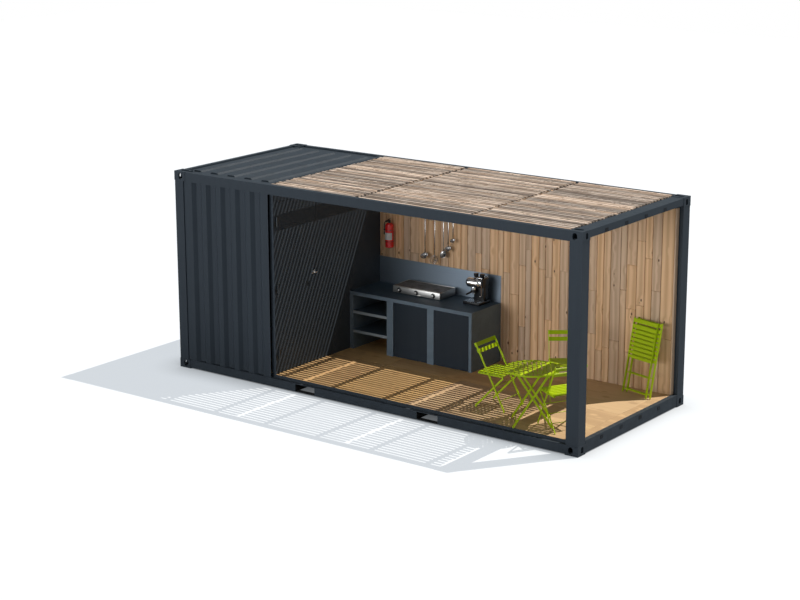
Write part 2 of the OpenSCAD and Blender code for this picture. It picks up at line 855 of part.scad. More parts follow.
// A door that stands in its bay on two pivot pins. Its edge is rounded about the pins,
// so it keeps its clearance as it turns.
module cupboard_door(x0, pivot_side) {
    r = cupboard_door_t / 2;
    w = cupboard_w - 2 * cupboard_gap - r;
    h = bay_h - 2 * cupboard_gap;
    pivot_x = pivot_side < 0 ? x0 + cupboard_gap + r : x0 + cupboard_w - cupboard_gap - r;
    color(charcoal) translate([pivot_x, counter_y0 + cupboard_setback + r, floor_z])
        mirror([pivot_side < 0 ? 0 : 1, 0, 0]) union() {
            block([0, -r, cupboard_gap], [w, cupboard_door_t, h]);
            translate([0, 0, cupboard_gap]) cylinder(r = r, h = h);
            translate([0, 0, pivot_play]) cylinder(d = pivot_d, h = bay_h - 2 * pivot_play);
        }
}

module cupboard_door_left() { cupboard_door(cupboard1_x, -1); }
module cupboard_door_right() { cupboard_door(cupboard2_x, 1); }

module splashback() {
    color(stainless) block([counter_x0, lining_y - splash_t, counter_z],
        [counter_x1 - counter_x0, splash_t, splash_h]);
}

// ---------------------------------------------------------------- appliances

griddle_x = counter_x0 + griddle_from_left;
griddle_y = counter_y1 - griddle_d - 50;
griddle_top_z = counter_z + griddle_foot_h + griddle_h;

// A steel box on four feet with a sunken plate and a raised lip on three sides.
module griddle() {
    color(stainless) union() {
        difference() {
            block([griddle_x, griddle_y, counter_z + griddle_foot_h],
                  [griddle_l, griddle_d, griddle_h]);
            block([griddle_x + 6, griddle_y - 1, griddle_top_z - 18],
                  [griddle_l - 12, griddle_d - 5, 30]);
        }
        for (x = [griddle_x + 40, griddle_x + griddle_l - 40],
             y = [griddle_y + 40, griddle_y + griddle_d - 40])
            translate([x, y, counter_z]) cylinder(d = 36, h = griddle_foot_h);
    }
}

module griddle_knobs() {
    z = counter_z + griddle_foot_h + griddle_h / 2 - 8;
    color(steel_dark) for (i = [0:2])
        translate([griddle_x + griddle_l * (0.14 + 0.36 * i), griddle_y, z])
            rotate([90, 0, 0]) cylinder(d = knob_d, h = 26);
}

coffee_x = counter_x1 - coffee_from_right - coffee_w;
coffee_y = counter_y1 - coffee_d - 70;

// An espresso machine: a drip tray, a column, a boiler across the top and a brew group.
module coffee_machine() {
    color(stainless) union() {
        block([coffee_x, coffee_y, counter_z], [coffee_w, coffee_d, 45]);
        block([coffee_x + 20, coffee_y + coffee_d - 110, counter_z + 40],
              [coffee_w - 40, 100, coffee_h - 150]);
        translate([coffee_x, coffee_y + coffee_d - 70, counter_z + coffee_h - 110])
            rotate([0, 90, 0]) cylinder(d = 120, h = coffee_w);
        translate([coffee_x + coffee_w / 2, coffee_y + coffee_d - 160, counter_z + coffee_h - 190])
            cylinder(d = 62, h = 90);
        block([coffee_x + coffee_w / 2 - 20, coffee_y + coffee_d - 160, counter_z + coffee_h - 130],
              [40, 60, 30]);
        translate([coffee_x + coffee_w / 2, coffee_y + coffee_d - 70, counter_z + coffee_h - 60])
            cylinder(d = 46, h = 60);
    }
}

extinguisher_x = partition_x + 210;
extinguisher_z = floor_z + 1275;

// A steel bottle with a domed top, its valve and the bracket that holds it on the lining.
module fire_extinguisher() {
    r = extinguisher_d / 2;
    y = lining_y - r - 12;
    color(red) union() {
        translate([extinguisher_x, y, extinguisher_z]) cylinder(r = r, h = extinguisher_h - r);
        translate([extinguisher_x, y, extinguisher_z + extinguisher_h - r]) sphere(r = r);
        translate([extinguisher_x, y, extinguisher_z + extinguisher_h - 10])
            cylinder(d = 30, h = 50);
        block([extinguisher_x - 12, y - 45, extinguisher_z + extinguisher_h + 36], [24, 90, 14]);
        block([extinguisher_x - 20, y, extinguisher_z + extinguisher_h / 2],
              [40, lining_y - y, 50]);
    }
}

rail_x = counter_x0 + 600;
rail_y = lining_y - 45;
rail_z = floor_z + utensil_rail_z;

module utensil_rail() {
    color(stainless) union() {
        translate([rail_x, rail_y, rail_z]) rotate([0, 90, 0])
            cylinder(d = 12, h = utensil_rail_l);
        for (x = [rail_x + 40, rail_x + utensil_rail_l - 40])
            translate([x, lining_y, rail_z]) rotate([90, 0, 0]) cylinder(d = 12, h = 45);
    }
}

// Each utensil hangs from the rail: its place along it, its length and its bowl.
utensil_list = [[184, 550, 96], [340, 590, 110], [476, 500, 92], [554, 400, 70], [628, 330, 60]];

module utensils() {
    color(stainless) for (u = utensil_list) translate([rail_x + u[0], rail_y - 18, rail_z - u[1]])
        union() {
            translate([-6, -2, 0]) cube([12, 4, u[1] + 14]);
            translate([-6, -2, u[1] + 6]) cube([12, 32, 4]);
            translate([-6, 26, u[1] - 10]) cube([12, 4, 18]);
            translate([0, -12, 0]) cylinder(d = u[2], h = 24);
        }
}

// ---------------------------------------------------------------- furniture

// Two chair sides' bars are pinned together with this gap between them.
bar_gap = 2;
chair_inner_w = chair_w - 2 * chair_bar_t - 2 * bar_gap;
chair_foot_x = chair_reach / 2;
chair_rod_d = 8;
seat_t = 10;
seat_pitch = 52;
seat_back_x = -seat_slats * seat_pitch / 2 + 15;
stile_slope = (chair_h - chair_bar) / chair_reach;
leg_run = chair_reach - 30;
leg_slope = (chair_seat_h - 2 * chair_bar) / leg_run;

// An open folding chair facing +X with its middle on the origin: the stiles of the back run
// down to the front feet, the legs run from the rear feet up to the seat's front.
module folding_chair() {
    half_bar = chair_bar / 2;
    rod_z = chair_seat_h - seat_t - chair_rod_d;
    crossing = (chair_h - chair_bar) / (stile_slope + leg_slope);
    union() {
        for (s = [-1, 1]) {
            translate([0, s * (chair_w - chair_bar_t) / 2, 0]) {
                flat_bar([-chair_foot_x, chair_h - half_bar], [chair_foot_x, half_bar],
                         chair_bar, chair_bar_t);
                foot(chair_foot_x - half_bar);
            }
            translate([0, s * (chair_inner_w - chair_bar_t) / 2, 0]) {
                flat_bar([-chair_foot_x, half_bar],
                         [leg_run - chair_foot_x, half_bar + leg_run * leg_slope],
                         chair_bar, chair_bar_t);
                foot(-chair_foot_x + half_bar);
            }
            block([seat_back_x, s * (chair_inner_w / 2 - chair_bar_t) - half_bar,
                   chair_seat_h - seat_t - 16],
                  [seat_slats * seat_pitch - 14, chair_bar - 4, 17]);
        }
        cross_rod(crossing - chair_foot_x, half_bar + crossing * leg_slope, chair_w + 4);
        cross_rod(chair_foot_x - (rod_z - half_bar) / stile_slope, rod_z, chair_w + 4);
        cross_rod(chair_foot_x - 120 / stile_slope, half_bar + 120, chair_w + 4);
        cross_rod(-chair_foot_x + 90, half_bar + 90 * leg_slope, chair_inner_w);
        for (i = [0:seat_slats - 1])
            block([seat_back_x + i * seat_pitch, -chair_w / 2 + 2 * chair_bar_t,
                   chair_seat_h - seat_t], [seat_slat_w, chair_w - 4 * chair_bar_t, seat_t]);
        for (drop = [12, 12 + 1.5 * back_slat_h])
            translate([-chair_foot_x + drop / stile_slope, 0, chair_h - drop - back_slat_h])
                rotate([0, -atan(1 / stile_slope), 0])
                    translate([-2, -chair_w / 2 - 2, 0]) cube([10, chair_w + 4, back_slat_h]);
    }
}

// A round rod across a chair.
module cross_rod(x, z, length) {
    translate([x, 0, z]) rotate([90, 0, 0])
        cylinder(d = chair_rod_d, h = length, center = true);
}

// The flat end of a bar where it stands on the floor.
module foot(x) {
    block([x - 7, -chair_bar_t / 2, 0], [14, chair_bar_t, chair_bar]);
}

table_x = slat_x1 - 641;
table_y = -half_w + 339;
table_turn = 35;
table_rim = 22;
table_under_z = table_h - table_rim;
table_frame_y = 200;
table_bar_t = 10;

// A ring with parallel slats across it on two battens.
module table_top() {
    r = table_d / 2;
    pitch = table_d / table_slats;
    batten_y = r * 0.45;
    batten_l = sqrt(r * r - batten_y * batten_y);
    color(lime) translate([table_x, table_y, floor_z + table_under_z]) rotate(table_turn)
        union() {
            intersection() {
                translate([0, 0, 8]) cylinder(r = r - 2, h = 12);
                for (i = [0:table_slats - 1])
                    block([-r + (i + 0.12) * pitch, -r, 0], [pitch * 0.76, 2 * r, 30]);
            }
            difference() {
                cylinder(r = r, h = table_rim);
                translate([0, 0, -1]) cylinder(r = r - 6, h = table_rim + 2);
            }
            for (s = [-1, 1])
                block([-batten_l + 3, s * batten_y - 12, 0], [2 * batten_l - 6, 24, 9]);
        }
}

// Two pairs of crossed bars, pinned where they cross and tied by bars at top and foot.
module table_legs() {
    foot_x = table_reach / 2;
    top_x = foot_x - 45;
    half_bar = table_bar / 2;
    rise = (table_under_z - table_bar) / (foot_x + top_x);
    inner_y = table_frame_y - table_bar_t - bar_gap;
    color(lime) translate([table_x, table_y, floor_z]) rotate(table_turn) union() {
        for (s = [-1, 1]) {
            translate([0, s * table_frame_y, 0])
                flat_bar([-foot_x, half_bar], [top_x, table_under_z - half_bar],
                         table_bar, table_bar_t);
            translate([0, s * inner_y, 0])
                flat_bar([foot_x, half_bar], [-top_x, table_under_z - half_bar],
                         table_bar, table_bar_t);
            translate([0, s * (table_frame_y + inner_y) / 2, half_bar + foot_x * rise])
                rotate([90, 0, 0]) cylinder(d = 10, h = table_bar_t * 3, center = true);
            block([-foot_x - 7, s * table_frame_y - table_bar_t / 2, 0],
                  [14, table_bar_t, table_bar]);
            block([foot_x - 7, s * inner_y - table_bar_t / 2, 0],
                  [14, table_bar_t, table_bar]);
        }
        for (side = [[top_x, table_frame_y], [-top_x, inner_y]])
            block([side[0] - half_bar - 2, -side[1] - table_bar_t / 2 - 2, table_under_z - 16],
                  [table_bar + 4, 2 * side[1] + table_bar_t + 4, 16]);
        for (side = [[-foot_x + 30, table_frame_y], [foot_x - 30, inner_y]])
            block([side[0] - 6, -side[1], half_bar + 30 * rise - 8], [12, 2 * side[1], 16]);
    }
}

module chair_left() {
    color(lime) translate([table_x - 665, table_y + 310, floor_z]) folding_chair();
}

module chair_right() {
    color(lime) translate([table_x + 360, table_y + 70, floor_z]) rotate(150) folding_chair();
}

module chair_rear() {
    color(lime) translate([table_x - 198, table_y + 1046, floor_z]) rotate(-53)
        folding_chair();
}

// Two chairs folded flat, one in front of the other, leaning on the lining by the rear
// one's top corner.
module folded_chairs() {
    length = chair_h + 130;
    lean = 11;
    turn = 15;
    depth = 24;
    step = depth / cos(lean) + 6;
    reach = length * sin(lean) + depth * cos(lean);
    foot_y = lining_y - chair_w / 2 * sin(turn) - reach * cos(turn) - 6;
    color(lime) translate([lining_x1 - chair_w / 2 - 96, foot_y, floor_z]) rotate(-turn)
        for (i = [0, 1]) translate([-40 * i, -i * step, 0])
            rotate([-lean, 0, 0]) translate([0, 0, depth * tan(lean)]) folded_chair(length, depth);
}

// A flat chair standing up with its seat towards -Y: stiles, legs and all its slats, the
// back's two over the seat's.
module folded_chair(length, depth) {
    back_pitch = 1.5 * back_slat_h;
    seat_top = length - 12 - back_pitch - back_slat_h - 14;
    union() {
        for (s = [0, 1]) mirror([s, 0, 0]) {
            block([chair_w / 2 - chair_bar_t, depth - chair_bar, 0],
                  [chair_bar_t, chair_bar, length]);
            block([chair_w / 2 - 2 * chair_bar_t - bar_gap, 2, 20],
                  [chair_bar_t, chair_bar, length - 120]);
        }
        for (i = [0, 1])
            block([-chair_w / 2, 0, length - 12 - back_slat_h - i * back_pitch],
                  [chair_w, 8, back_slat_h]);
        for (i = [0:seat_slats - 1])
            block([-chair_w / 2, 0, seat_top - seat_slat_w - i * seat_pitch],
                  [chair_w, 8, seat_slat_w]);
        for (z = [40, 245]) block([-chair_w / 2, depth - 12, z], [chair_w, 10, 12]);
    }
}

// ---------------------------------------------------------------- output

corner_fittings_bottom();
corner_fittings_top();
corner_post_left_front();
corner_post_left_rear();
corner_post_right_front();
corner_post_right_rear();
top_rail_front();
top_rail_rear();
header_left();
header_right();
bottom_rail_front();
bottom_rail_rear();
sill_left();
sill_right();
door_keepers();
fork_pockets();
cross_members();
floor_boards();
front_wall();
rear_wall();
left_end_wall();
roof_sheet();
roof_edge_beam();
roof_joists();
slat_panel_left();
slat_panel_middle();
slat_panel_right();
partition_jamb();
partition_wall();
partition_head();
store_door();
door_lever();
door_hinge_sleeves();
hinge_pins();
wall_lining();
lining_end_board();
lining_rails_rear();
counter_top();
counter_sides();
counter_shelves();
cupboard_door_left();
cupboard_door_right();
splashback();
griddle();
griddle_knobs();
coffee_machine();
fire_extinguisher();
utensil_rail();
utensils();
table_top();
table_legs();
chair_left();
chair_right();
chair_rear();
folded_chairs();
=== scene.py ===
import math
import random

import bpy
from mathutils import Matrix, Vector


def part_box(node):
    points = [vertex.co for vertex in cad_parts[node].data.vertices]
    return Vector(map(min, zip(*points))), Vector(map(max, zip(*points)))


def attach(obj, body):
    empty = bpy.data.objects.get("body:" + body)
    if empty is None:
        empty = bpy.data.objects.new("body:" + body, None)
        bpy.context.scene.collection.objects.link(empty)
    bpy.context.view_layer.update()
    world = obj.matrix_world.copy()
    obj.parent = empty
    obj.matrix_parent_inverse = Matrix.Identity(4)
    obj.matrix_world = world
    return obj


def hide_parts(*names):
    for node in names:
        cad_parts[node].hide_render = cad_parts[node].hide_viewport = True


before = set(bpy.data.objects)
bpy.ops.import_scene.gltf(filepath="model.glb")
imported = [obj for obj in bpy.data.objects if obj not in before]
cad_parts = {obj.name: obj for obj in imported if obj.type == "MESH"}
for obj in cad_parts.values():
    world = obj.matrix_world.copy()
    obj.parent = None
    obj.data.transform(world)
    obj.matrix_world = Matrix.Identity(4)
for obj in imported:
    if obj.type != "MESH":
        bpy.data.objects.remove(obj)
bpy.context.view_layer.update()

cabin = "cabin"


# ---- View, daylight and ground ---------------------------------------------------------
# The cabin stands in the open and is seen from beyond its open corner, from above its
# roof. The sun is behind the lined wall's side, so it reaches the terrace through the slats.
view_place = Vector((13.663, -18.761, 7.187))
view_turn = math.radians(36.79)
view_drop = math.radians(14.69)
view_roll = math.radians(-0.15)
lens_length = 86.61
sun_strength = 4.0
sun_width = math.radians(0.12)
sun_colour = (1.0, 0.968, 0.92)
sun_height = math.radians(59)
sun_heading = Vector((-0.575, -0.818))
sky_strength = 0.10
sky_colour = (0.93, 0.965, 1.0)
mirrored_sky = (0.16, 0.19, 0.22, 1)
mirrored_cloud = (1.25, 1.25, 1.22, 1)
cloud_heading = Vector((0.03, -1.0, 0.07))
cloud_rim = 0.60
cloud_core = 0.90
fill_width = math.radians(40)
front_strength = 2.05
front_beam = Vector((0.31, 0.95, 0.03))
end_strength = 0.12
end_beam = Vector((-0.60, 0.40, -0.69))
ground_size = 70
ground_glow = (0.615, 0.655, 0.695, 1)
ground_seen = (0.34, 0.34, 0.34, 1)
contact_reach = 0.45
contact_share = 0.12
ground_bounce = (0.30, 0.32, 0.35, 1)


def node(tree, kind, inputs=None, **settings):
    """Adds a shader node; an input is given a value, or the output that feeds it."""
    made = tree.nodes.new("ShaderNode" + kind)
    for name, value in settings.items():
        setattr(made, name, value)
    for name, value in (inputs or {}).items():
        if isinstance(value, bpy.types.NodeSocket):
            tree.links.new(value, made.inputs[name])
        else:
            made.inputs[name].default_value = value
    return made.outputs


def new_tree(owner):
    owner.use_nodes = True
    owner.node_tree.nodes.clear()
    return owner.node_tree


scene = bpy.context.scene
scene.view_settings.view_transform = "Standard"

view_data = bpy.data.cameras.new("view")
view_data.lens = lens_length
view_data.clip_end = 300
view = bpy.data.objects.new("view", view_data)
scene.collection.objects.link(view)
view.matrix_world = (Matrix.Translation(view_place) @ Matrix.Rotation(view_turn, 4, "Z")
                     @ Matrix.Rotation(math.pi / 2 - view_drop, 4, "X")
                     @ Matrix.Rotation(view_roll, 4, "Z"))
scene.camera = view


def add_light(name, beam, strength, width, colour):
    """A far light that shines along a beam."""
    data = bpy.data.lights.new(name, "SUN")
    data.energy = strength
    data.angle = width
    data.color = colour
    light = bpy.data.objects.new(name, data)
    scene.collection.objects.link(light)
    light.rotation_euler = beam.to_track_quat("-Z", "Y").to_euler()


# The sun, and the bright open sky before the long side and the open end, under the roof.
sunbeam = Vector((*(sun_heading * math.cos(sun_height)), -math.sin(sun_height)))
add_light("sun", sunbeam, sun_strength, sun_width, sun_colour)
add_light("front_sky", front_beam, front_strength, fill_width, sky_colour)
add_light("end_sky", end_beam, end_strength, fill_width, sky_colour)


def looked_at(tree, path):
    """One for rays that come from the viewer, straight or through something clear."""
    return node(tree, "Math", {0: path["Is Camera Ray"], 1: path["Is Transmission Ray"]},
                operation="ADD", use_clamp=True)[0]


scene.world = scene.world or bpy.data.worlds.new("sky")
tree = new_tree(scene.world)
path = node(tree, "LightPath")
seen = looked_at(tree, path)
heading = node(tree, "TexCoord")["Generated"]
cloud = node(tree, "VectorMath", {0: heading, 1: cloud_heading.normalized()},
             operation="DOT_PRODUCT")["Value"]
cloud = node(tree, "MapRange", {"Value": cloud, "From Min": cloud_rim, "From Max": cloud_core},
             interpolation_type="SMOOTHSTEP")[0]
shine = node(tree, "Mix", {0: cloud, 6: mirrored_sky, 7: mirrored_cloud}, data_type="RGBA")[2]
daylight = node(tree, "Background", {"Color": (*sky_colour, 1), "Strength": sky_strength})[0]
white = node(tree, "Background", {"Color": (1, 1, 1, 1), "Strength": 1.0})[0]
mirrored = node(tree, "Background", {"Color": shine, "Strength": 1.0})[0]
mixed = node(tree, "MixShader", {"Fac": path["Is Glossy Ray"], 1: daylight, 2: mirrored})[0]
mixed = node(tree, "MixShader", {"Fac": seen, 1: mixed, 2: white})[0]
node(tree, "OutputWorld", {"Surface": mixed})

# White ground that glows by itself. Its glow is turned down where the cabin stands close over it, a
# painted contact shadow.
bpy.ops.mesh.primitive_plane_add(size=ground_size)
ground = bpy.context.object
ground.name = "ground"
ground_material = bpy.data.materials.new("pale_ground")
tree = new_tree(ground_material)
path = node(tree, "LightPath")
seen = looked_at(tree, path)
# Ambient occlusion lowers the ground's glow near the cabin: a painted contact shadow.
nearby = node(tree, "AmbientOcclusion", {"Distance": contact_reach})["AO"]
open_share = node(tree, "MapRange", {"Value": nearby, "To Min": contact_share})[0]
glow = node(tree, "Emission", {"Color": ground_glow, "Strength": open_share})[0]
shade = node(tree, "BsdfDiffuse", {"Color": ground_seen})[0]
pale = node(tree, "AddShader", {0: glow, 1: shade})[0]
bounce = node(tree, "BsdfDiffuse", {"Color": ground_bounce})[0]
mixed = node(tree, "MixShader", {"Fac": seen, 1: bounce, 2: pale})[0]
node(tree, "OutputMaterial", {"Surface": mixed})
ground.data.materials.append(ground_material)


# ---- Steel frame and sheets ------------------------------------------------------------
# The container's posts, rails, headers, cast corners and corrugated sheets are welded
# steel, sprayed all over with a satin blue-grey paint that has chalked a little outdoors.
frame_paint = (0.034, 0.046, 0.060, 1)
frame_chalk = (0.048, 0.062, 0.077, 1)
# Darker than the paint, along the foot and on what faces up: painted shade as well as dust.
frame_shade_and_dust = (0.028, 0.033, 0.038, 1)
frame_gloss = 0.46
frame_nodes = ["corner_fittings_bottom", "corner_fittings_top", "corner_post_left_front",
               "corner_post_left_rear", "corner_post_right_front", "corner_post_right_rear",
               "top_rail_front", "top_rail_rear", "header_left", "header_right",
               "bottom_rail_front", "bottom_rail_rear", "sill_left", "sill_right",
               "front_wall", "rear_wall", "left_end_wall", "roof_sheet", "roof_edge_beam",
               "roof_joists"]


def new_group(name, inputs, outputs):
    """An empty shader node group; returns its tree and what its inputs hold."""
    tree = bpy.data.node_groups.new(name, "ShaderNodeTree")
    for label, (kind, value) in inputs.items():
        socket = tree.interface.new_socket(label, in_out="INPUT", socket_type="NodeSocket" + kind)
        if value is not None:
            socket.default_value = value
    for label, kind in outputs.items():
        tree.interface.new_socket(label, in_out="OUTPUT", socket_type="NodeSocket" + kind)
    return tree, tree.nodes.new("NodeGroupInput").outputs


def close_group(tree, results):
    """Feeds a group's outputs and returns the group."""
    end = tree.nodes.new("NodeGroupOutput")
    for label, socket in results.items():
        tree.links.new(socket, end.inputs[label])
    return tree


def stretched(tree, place, scale, turn=(0, 0, 0)):
    """The place, turned and scaled for a pattern."""
    return node(tree, "Mapping", {"Vector": place, "Rotation": turn, "Scale": scale})[0]


def noise(tree, place, scale, detail=3.0, roughness=0.5, distortion=0.0):
    return node(tree, "TexNoise", {"Vector": place, "Scale": scale, "Detail": detail,
                                   "Roughness": roughness, "Distortion": distortion})["Fac"]


def ramp(tree, value, low, high, to_low=0.0, to_high=1.0):
    """Maps a value's stretch from low to high smoothly on another stretch."""
    return node(tree, "MapRange", {"Value": value, "From Min": low, "From Max": high,
                                   "To Min": to_low, "To Max": to_high},
                interpolation_type="SMOOTHSTEP")[0]


def mix(tree, amount, first, second, blend="MIX"):
    """Mixes two colours; sockets 6 and 7 of the Mix node are its colour inputs."""
    return node(tree, "Mix", {0: amount, 6: first, 7: second}, data_type="RGBA",
                blend_type=blend)[2]


def times(tree, first, second):
    return node(tree, "Math", {0: first, 1: second}, operation="MULTIPLY")[0]


def plus(tree, first, second):
    return node(tree, "Math", {0: first, 1: second}, operation="ADD")[0]


# Sprayed paint outdoors: chalked patches, faint rain streaks, a second tone on what faces up and
# along the foot, and the fine orange peel of the spray gun. Where that tone is lighter than the
# paint it is dust; where it is darker, as on the frame, it is painted shade.
tree, film = new_group(
    "paint_film",
    {"Place": ("Vector", None), "Paint": ("Color", (0.1, 0.1, 0.1, 1)),
     "Chalk": ("Color", (0.2, 0.2, 0.2, 1)), "Chalking": ("Float", 0.5),
     "Dust and shade": ("Color", (0.3, 0.3, 0.3, 1)), "Dust height": ("Float", 0.4),
     "Dust amount": ("Float", 0.5), "Gloss": ("Float", 0.45)},
    {"Colour": "Color", "Roughness": "Float", "Height": "Float"})
patches = noise(tree, film["Place"], 1.1, 5.0, 0.62, 0.4)
streaks = noise(tree, stretched(tree, film["Place"], (11, 11, 0.55)), 1.0, 4.0)
worn = times(tree, ramp(tree, plus(tree, patches, streaks), 0.75, 1.3), film["Chalking"])
colour = mix(tree, worn, film["Paint"], film["Chalk"])
height_z = node(tree, "SeparateXYZ", {0: film["Place"]})["Z"]
facing_z = node(tree, "SeparateXYZ", {0: node(tree, "NewGeometry")["Normal"]})["Z"]
near_foot = node(tree, "MapRange", {"Value": height_z, "From Max": film["Dust height"],
                                    "To Min": 1.0, "To Max": 0.0})[0]
specks = ramp(tree, noise(tree, film["Place"], 6.0, 6.0, 0.7), 0.3, 0.75)
# Tone along the foot and on what faces up: dust where it is lighter, painted shade where it is
# darker than the paint.
dust_and_shade_mask = plus(tree, near_foot, times(tree, ramp(tree, facing_z, 0.5, 0.95), 0.75))
dust_and_shade_mask = times(tree, times(tree, dust_and_shade_mask, specks), film["Dust amount"])
colour = mix(tree, dust_and_shade_mask, colour, film["Dust and shade"])
rough = plus(tree, film["Gloss"], times(tree, plus(tree, worn, dust_and_shade_mask), 0.3))
peel = times(tree, noise(tree, film["Place"], 170.0, 2.0), 0.25)
waves = times(tree, noise(tree, film["Place"], 2.6, 2.0), 4.0)
paint_film = close_group(tree, {"Colour": colour, "Roughness": rough,
                                "Height": plus(tree, peel, waves)})


def new_material(name, metallic=0.0, **fixed):
    """A material with a Principled shader; fixed are the plain values of its sockets."""
    material = bpy.data.materials.new(name)
    tree = new_tree(material)
    values = {"Metallic": metallic}
    values.update({label.replace("_", " "): value for label, value in fixed.items()})
    shader = tree.nodes.new("ShaderNodeBsdfPrincipled")
    for label, value in values.items():
        shader.inputs[label].default_value = value
    end = tree.nodes.new("ShaderNodeOutputMaterial")
    tree.links.new(shader.outputs["BSDF"], end.inputs["Surface"])
    place = node(tree, "TexCoord")["Object"]
    return material, tree, shader, place


def finish_surface(tree, shader, colour=None, roughness=None, height=None, depth=0.001,
                   strength=0.5):
    """Feeds a shader's colour, roughness and, from a height, its bump."""
    if colour is not None:
        tree.links.new(colour, shader.inputs["Base Color"])
    if roughness is not None:
        tree.links.new(roughness, shader.inputs["Roughness"])
    if height is not None:
        bump = node(tree, "Bump", {"Height": height, "Distance": depth, "Strength": strength})
        tree.links.new(bump["Normal"], shader.inputs["Normal"])


def painted(name, paint, chalk, chalking, dust, dust_height, dust_amount, gloss, depth=0.0006,
            **fixed):
    """A sprayed steel or board finish."""
    material, tree, shader, place = new_material(name, **fixed)
    film = node(tree, "Group", {
        "Place": place, "Paint": paint, "Chalk": chalk, "Chalking": chalking, "Dust and shade": dust,
        "Dust height": dust_height, "Dust amount": dust_amount, "Gloss": gloss},
        node_tree=paint_film)
    finish_surface(tree, shader, film["Colour"], film["Roughness"], film["Height"], depth)
    return material


def coat(names, material):
    """Gives CAD nodes their finish."""
    for name in names:
        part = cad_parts[name]
        part.data.materials.clear()
        part.data.materials.append(material)


frame_material = painted("frame_paint", frame_paint, frame_chalk, 0.55, frame_shade_and_dust, 0.45, 0.55,
                         frame_gloss, Specular_IOR_Level=0.22)
coat(frame_nodes, frame_material)


# ---- Underframe ------------------------------------------------------------------------
# Folded channels and the fork pockets' tunnels under the floor, in a matt dark undercoat
# that road dirt has settled on. The door keepers on the open end's frame are cleaner.
under_paint = (0.012, 0.014, 0.017, 1)
under_dirt = (0.060, 0.056, 0.050, 1)
under_material = painted("underframe_paint", under_paint, under_dirt, 0.35, under_dirt, 0.5, 0.7,
                         0.62, 0.0012)
keeper_material = painted("keeper_paint", under_paint, frame_paint, 0.4, frame_shade_and_dust, 0.3, 0.1, 0.5,
                          Specular_IOR_Level=0.2)
coat(["fork_pockets", "cross_members"], under_material)
coat(["door_keepers"], keeper_material)


# ---- Terrace floor ---------------------------------------------------------------------
# Plywood sheets with a honey-coloured, oiled face veneer, laid in two rows and butted
# with a fine gap, and a strip at each end between the corner fittings. Tones vary a little.
sheet_length = 1.22
sheet_gap = 0.0025
sheet_edge = 0.0015
fitting_length = 0.178
fitting_width = 0.162
fitting_gap = 0.002
veneer_light = (0.660, 0.425, 0.195, 1)
veneer_dark = (0.490, 0.295, 0.132, 1)


def pick(piece):
    """Makes a piece the only one that the next steps work on."""
    bpy.ops.object.select_all(action="DESELECT")
    piece.select_set(True)
    bpy.context.view_layer.objects.active = piece


def edit_parts(piece, kind, wanted):
    """Opens a piece for editing with only the wanted edges or polygons selected."""
    pick(piece)
    bpy.context.tool_settings.mesh_select_mode = (False, kind == "edges", kind == "polygons")
    bpy.ops.object.mode_set(mode="EDIT")
    bpy.ops.mesh.select_all(action="DESELECT")
    bpy.ops.object.mode_set(mode="OBJECT")
    for part in getattr(piece.data, kind):
        part.select = wanted(part)
    bpy.ops.object.mode_set(mode="EDIT")


def round_off(piece, kind, wanted, radius, steps):
    """Rounds a piece's wanted edges, or the rims of its wanted faces."""
    edit_parts(piece, kind, wanted)
    bpy.ops.mesh.bevel(offset=radius, segments=steps, affect="EDGES")
    bpy.ops.object.mode_set(mode="OBJECT")


def add_block(name, low, high, edge=0.0, steps=2):
    """A cuboid between two corners, its edges rounded off."""
    low, high = Vector(low), Vector(high)
    bpy.ops.mesh.primitive_cube_add(size=1, location=(low + high) / 2, scale=high - low)
    bpy.ops.object.transform_apply()
    piece = bpy.context.object
    piece.name = name
    if edge:
        round_off(piece, "edges", lambda part: True, edge, steps)
    return piece


def mark(piece, board):
    """Numbers a board, so that its finish can vary from its neighbours'."""
    count = len(piece.data.polygons)
    layer = piece.data.attributes.new("board", "FLOAT", "FACE")
    layer.data.foreach_set("value", [board] * count)


def join(pieces, name):
    """Makes one mesh of several pieces."""
    pick(pieces[0])
    for piece in pieces:
        piece.select_set(True)
    bpy.ops.object.join()
    pieces[0].name = name
    pieces[0].data.name = name
    return pieces[0]


def smooth(piece, degrees=35):
    """Shades a piece smoothly, except over edges sharper than the angle."""
    pick(piece)
    bpy.ops.object.shade_smooth_by_angle(angle=math.radians(degrees))
    return piece


def fit(piece, material, body, slot, *stands_for):
    """Finishes a piece: its material, the body it rides on and the nodes it stands for."""
    piece.data.materials.clear()
    piece.data.materials.append(material)
    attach(piece, body)
    if stands_for:
        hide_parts(*stands_for)


# Wood, with its grain along Z: earlywood and latewood bands that bend round the knots,
# fine pores, and a tone that changes from board to board.
tree, grain = new_group(
    "wood",
    {"Place": ("Vector", None), "Board": ("Float", 0.0), "Light": ("Color", (0.6, 0.4, 0.2, 1)),
     "Dark": ("Color", (0.3, 0.2, 0.1, 1)), "Knot": ("Color", (0.1, 0.05, 0.03, 1)),
     "Knots": ("Float", 1.0), "Tone spread": ("Float", 0.25), "Bands": ("Float", 9.0)},
    {"Colour": "Color", "Roughness": "Float", "Height": "Float"})
apart = [times(tree, grain["Board"], step) for step in (7.31, 3.77, 5.13)]
apart = node(tree, "CombineXYZ", dict(enumerate(apart)))[0]
own = node(tree, "VectorMath", {0: grain["Place"], 1: apart}, operation="ADD")[0]
cells = node(tree, "TexVoronoi", {"Vector": stretched(tree, own, (7.5, 7.5, 4.4)), "Scale": 1.0,
                                  "Randomness": 1.0})
chosen = ramp(tree, node(tree, "SeparateColor", {0: cells["Color"]})[0], 0.15, 0.2)
around = times(tree, ramp(tree, cells["Distance"], 0.42, 0.06), chosen)
heart = times(tree, times(tree, ramp(tree, cells["Distance"], 0.1, 0.055), chosen), grain["Knots"])
bend = node(tree, "CombineXYZ", {0: times(tree, around, 0.035)})[0]
bent = node(tree, "VectorMath", {0: own, 1: bend}, operation="ADD")[0]
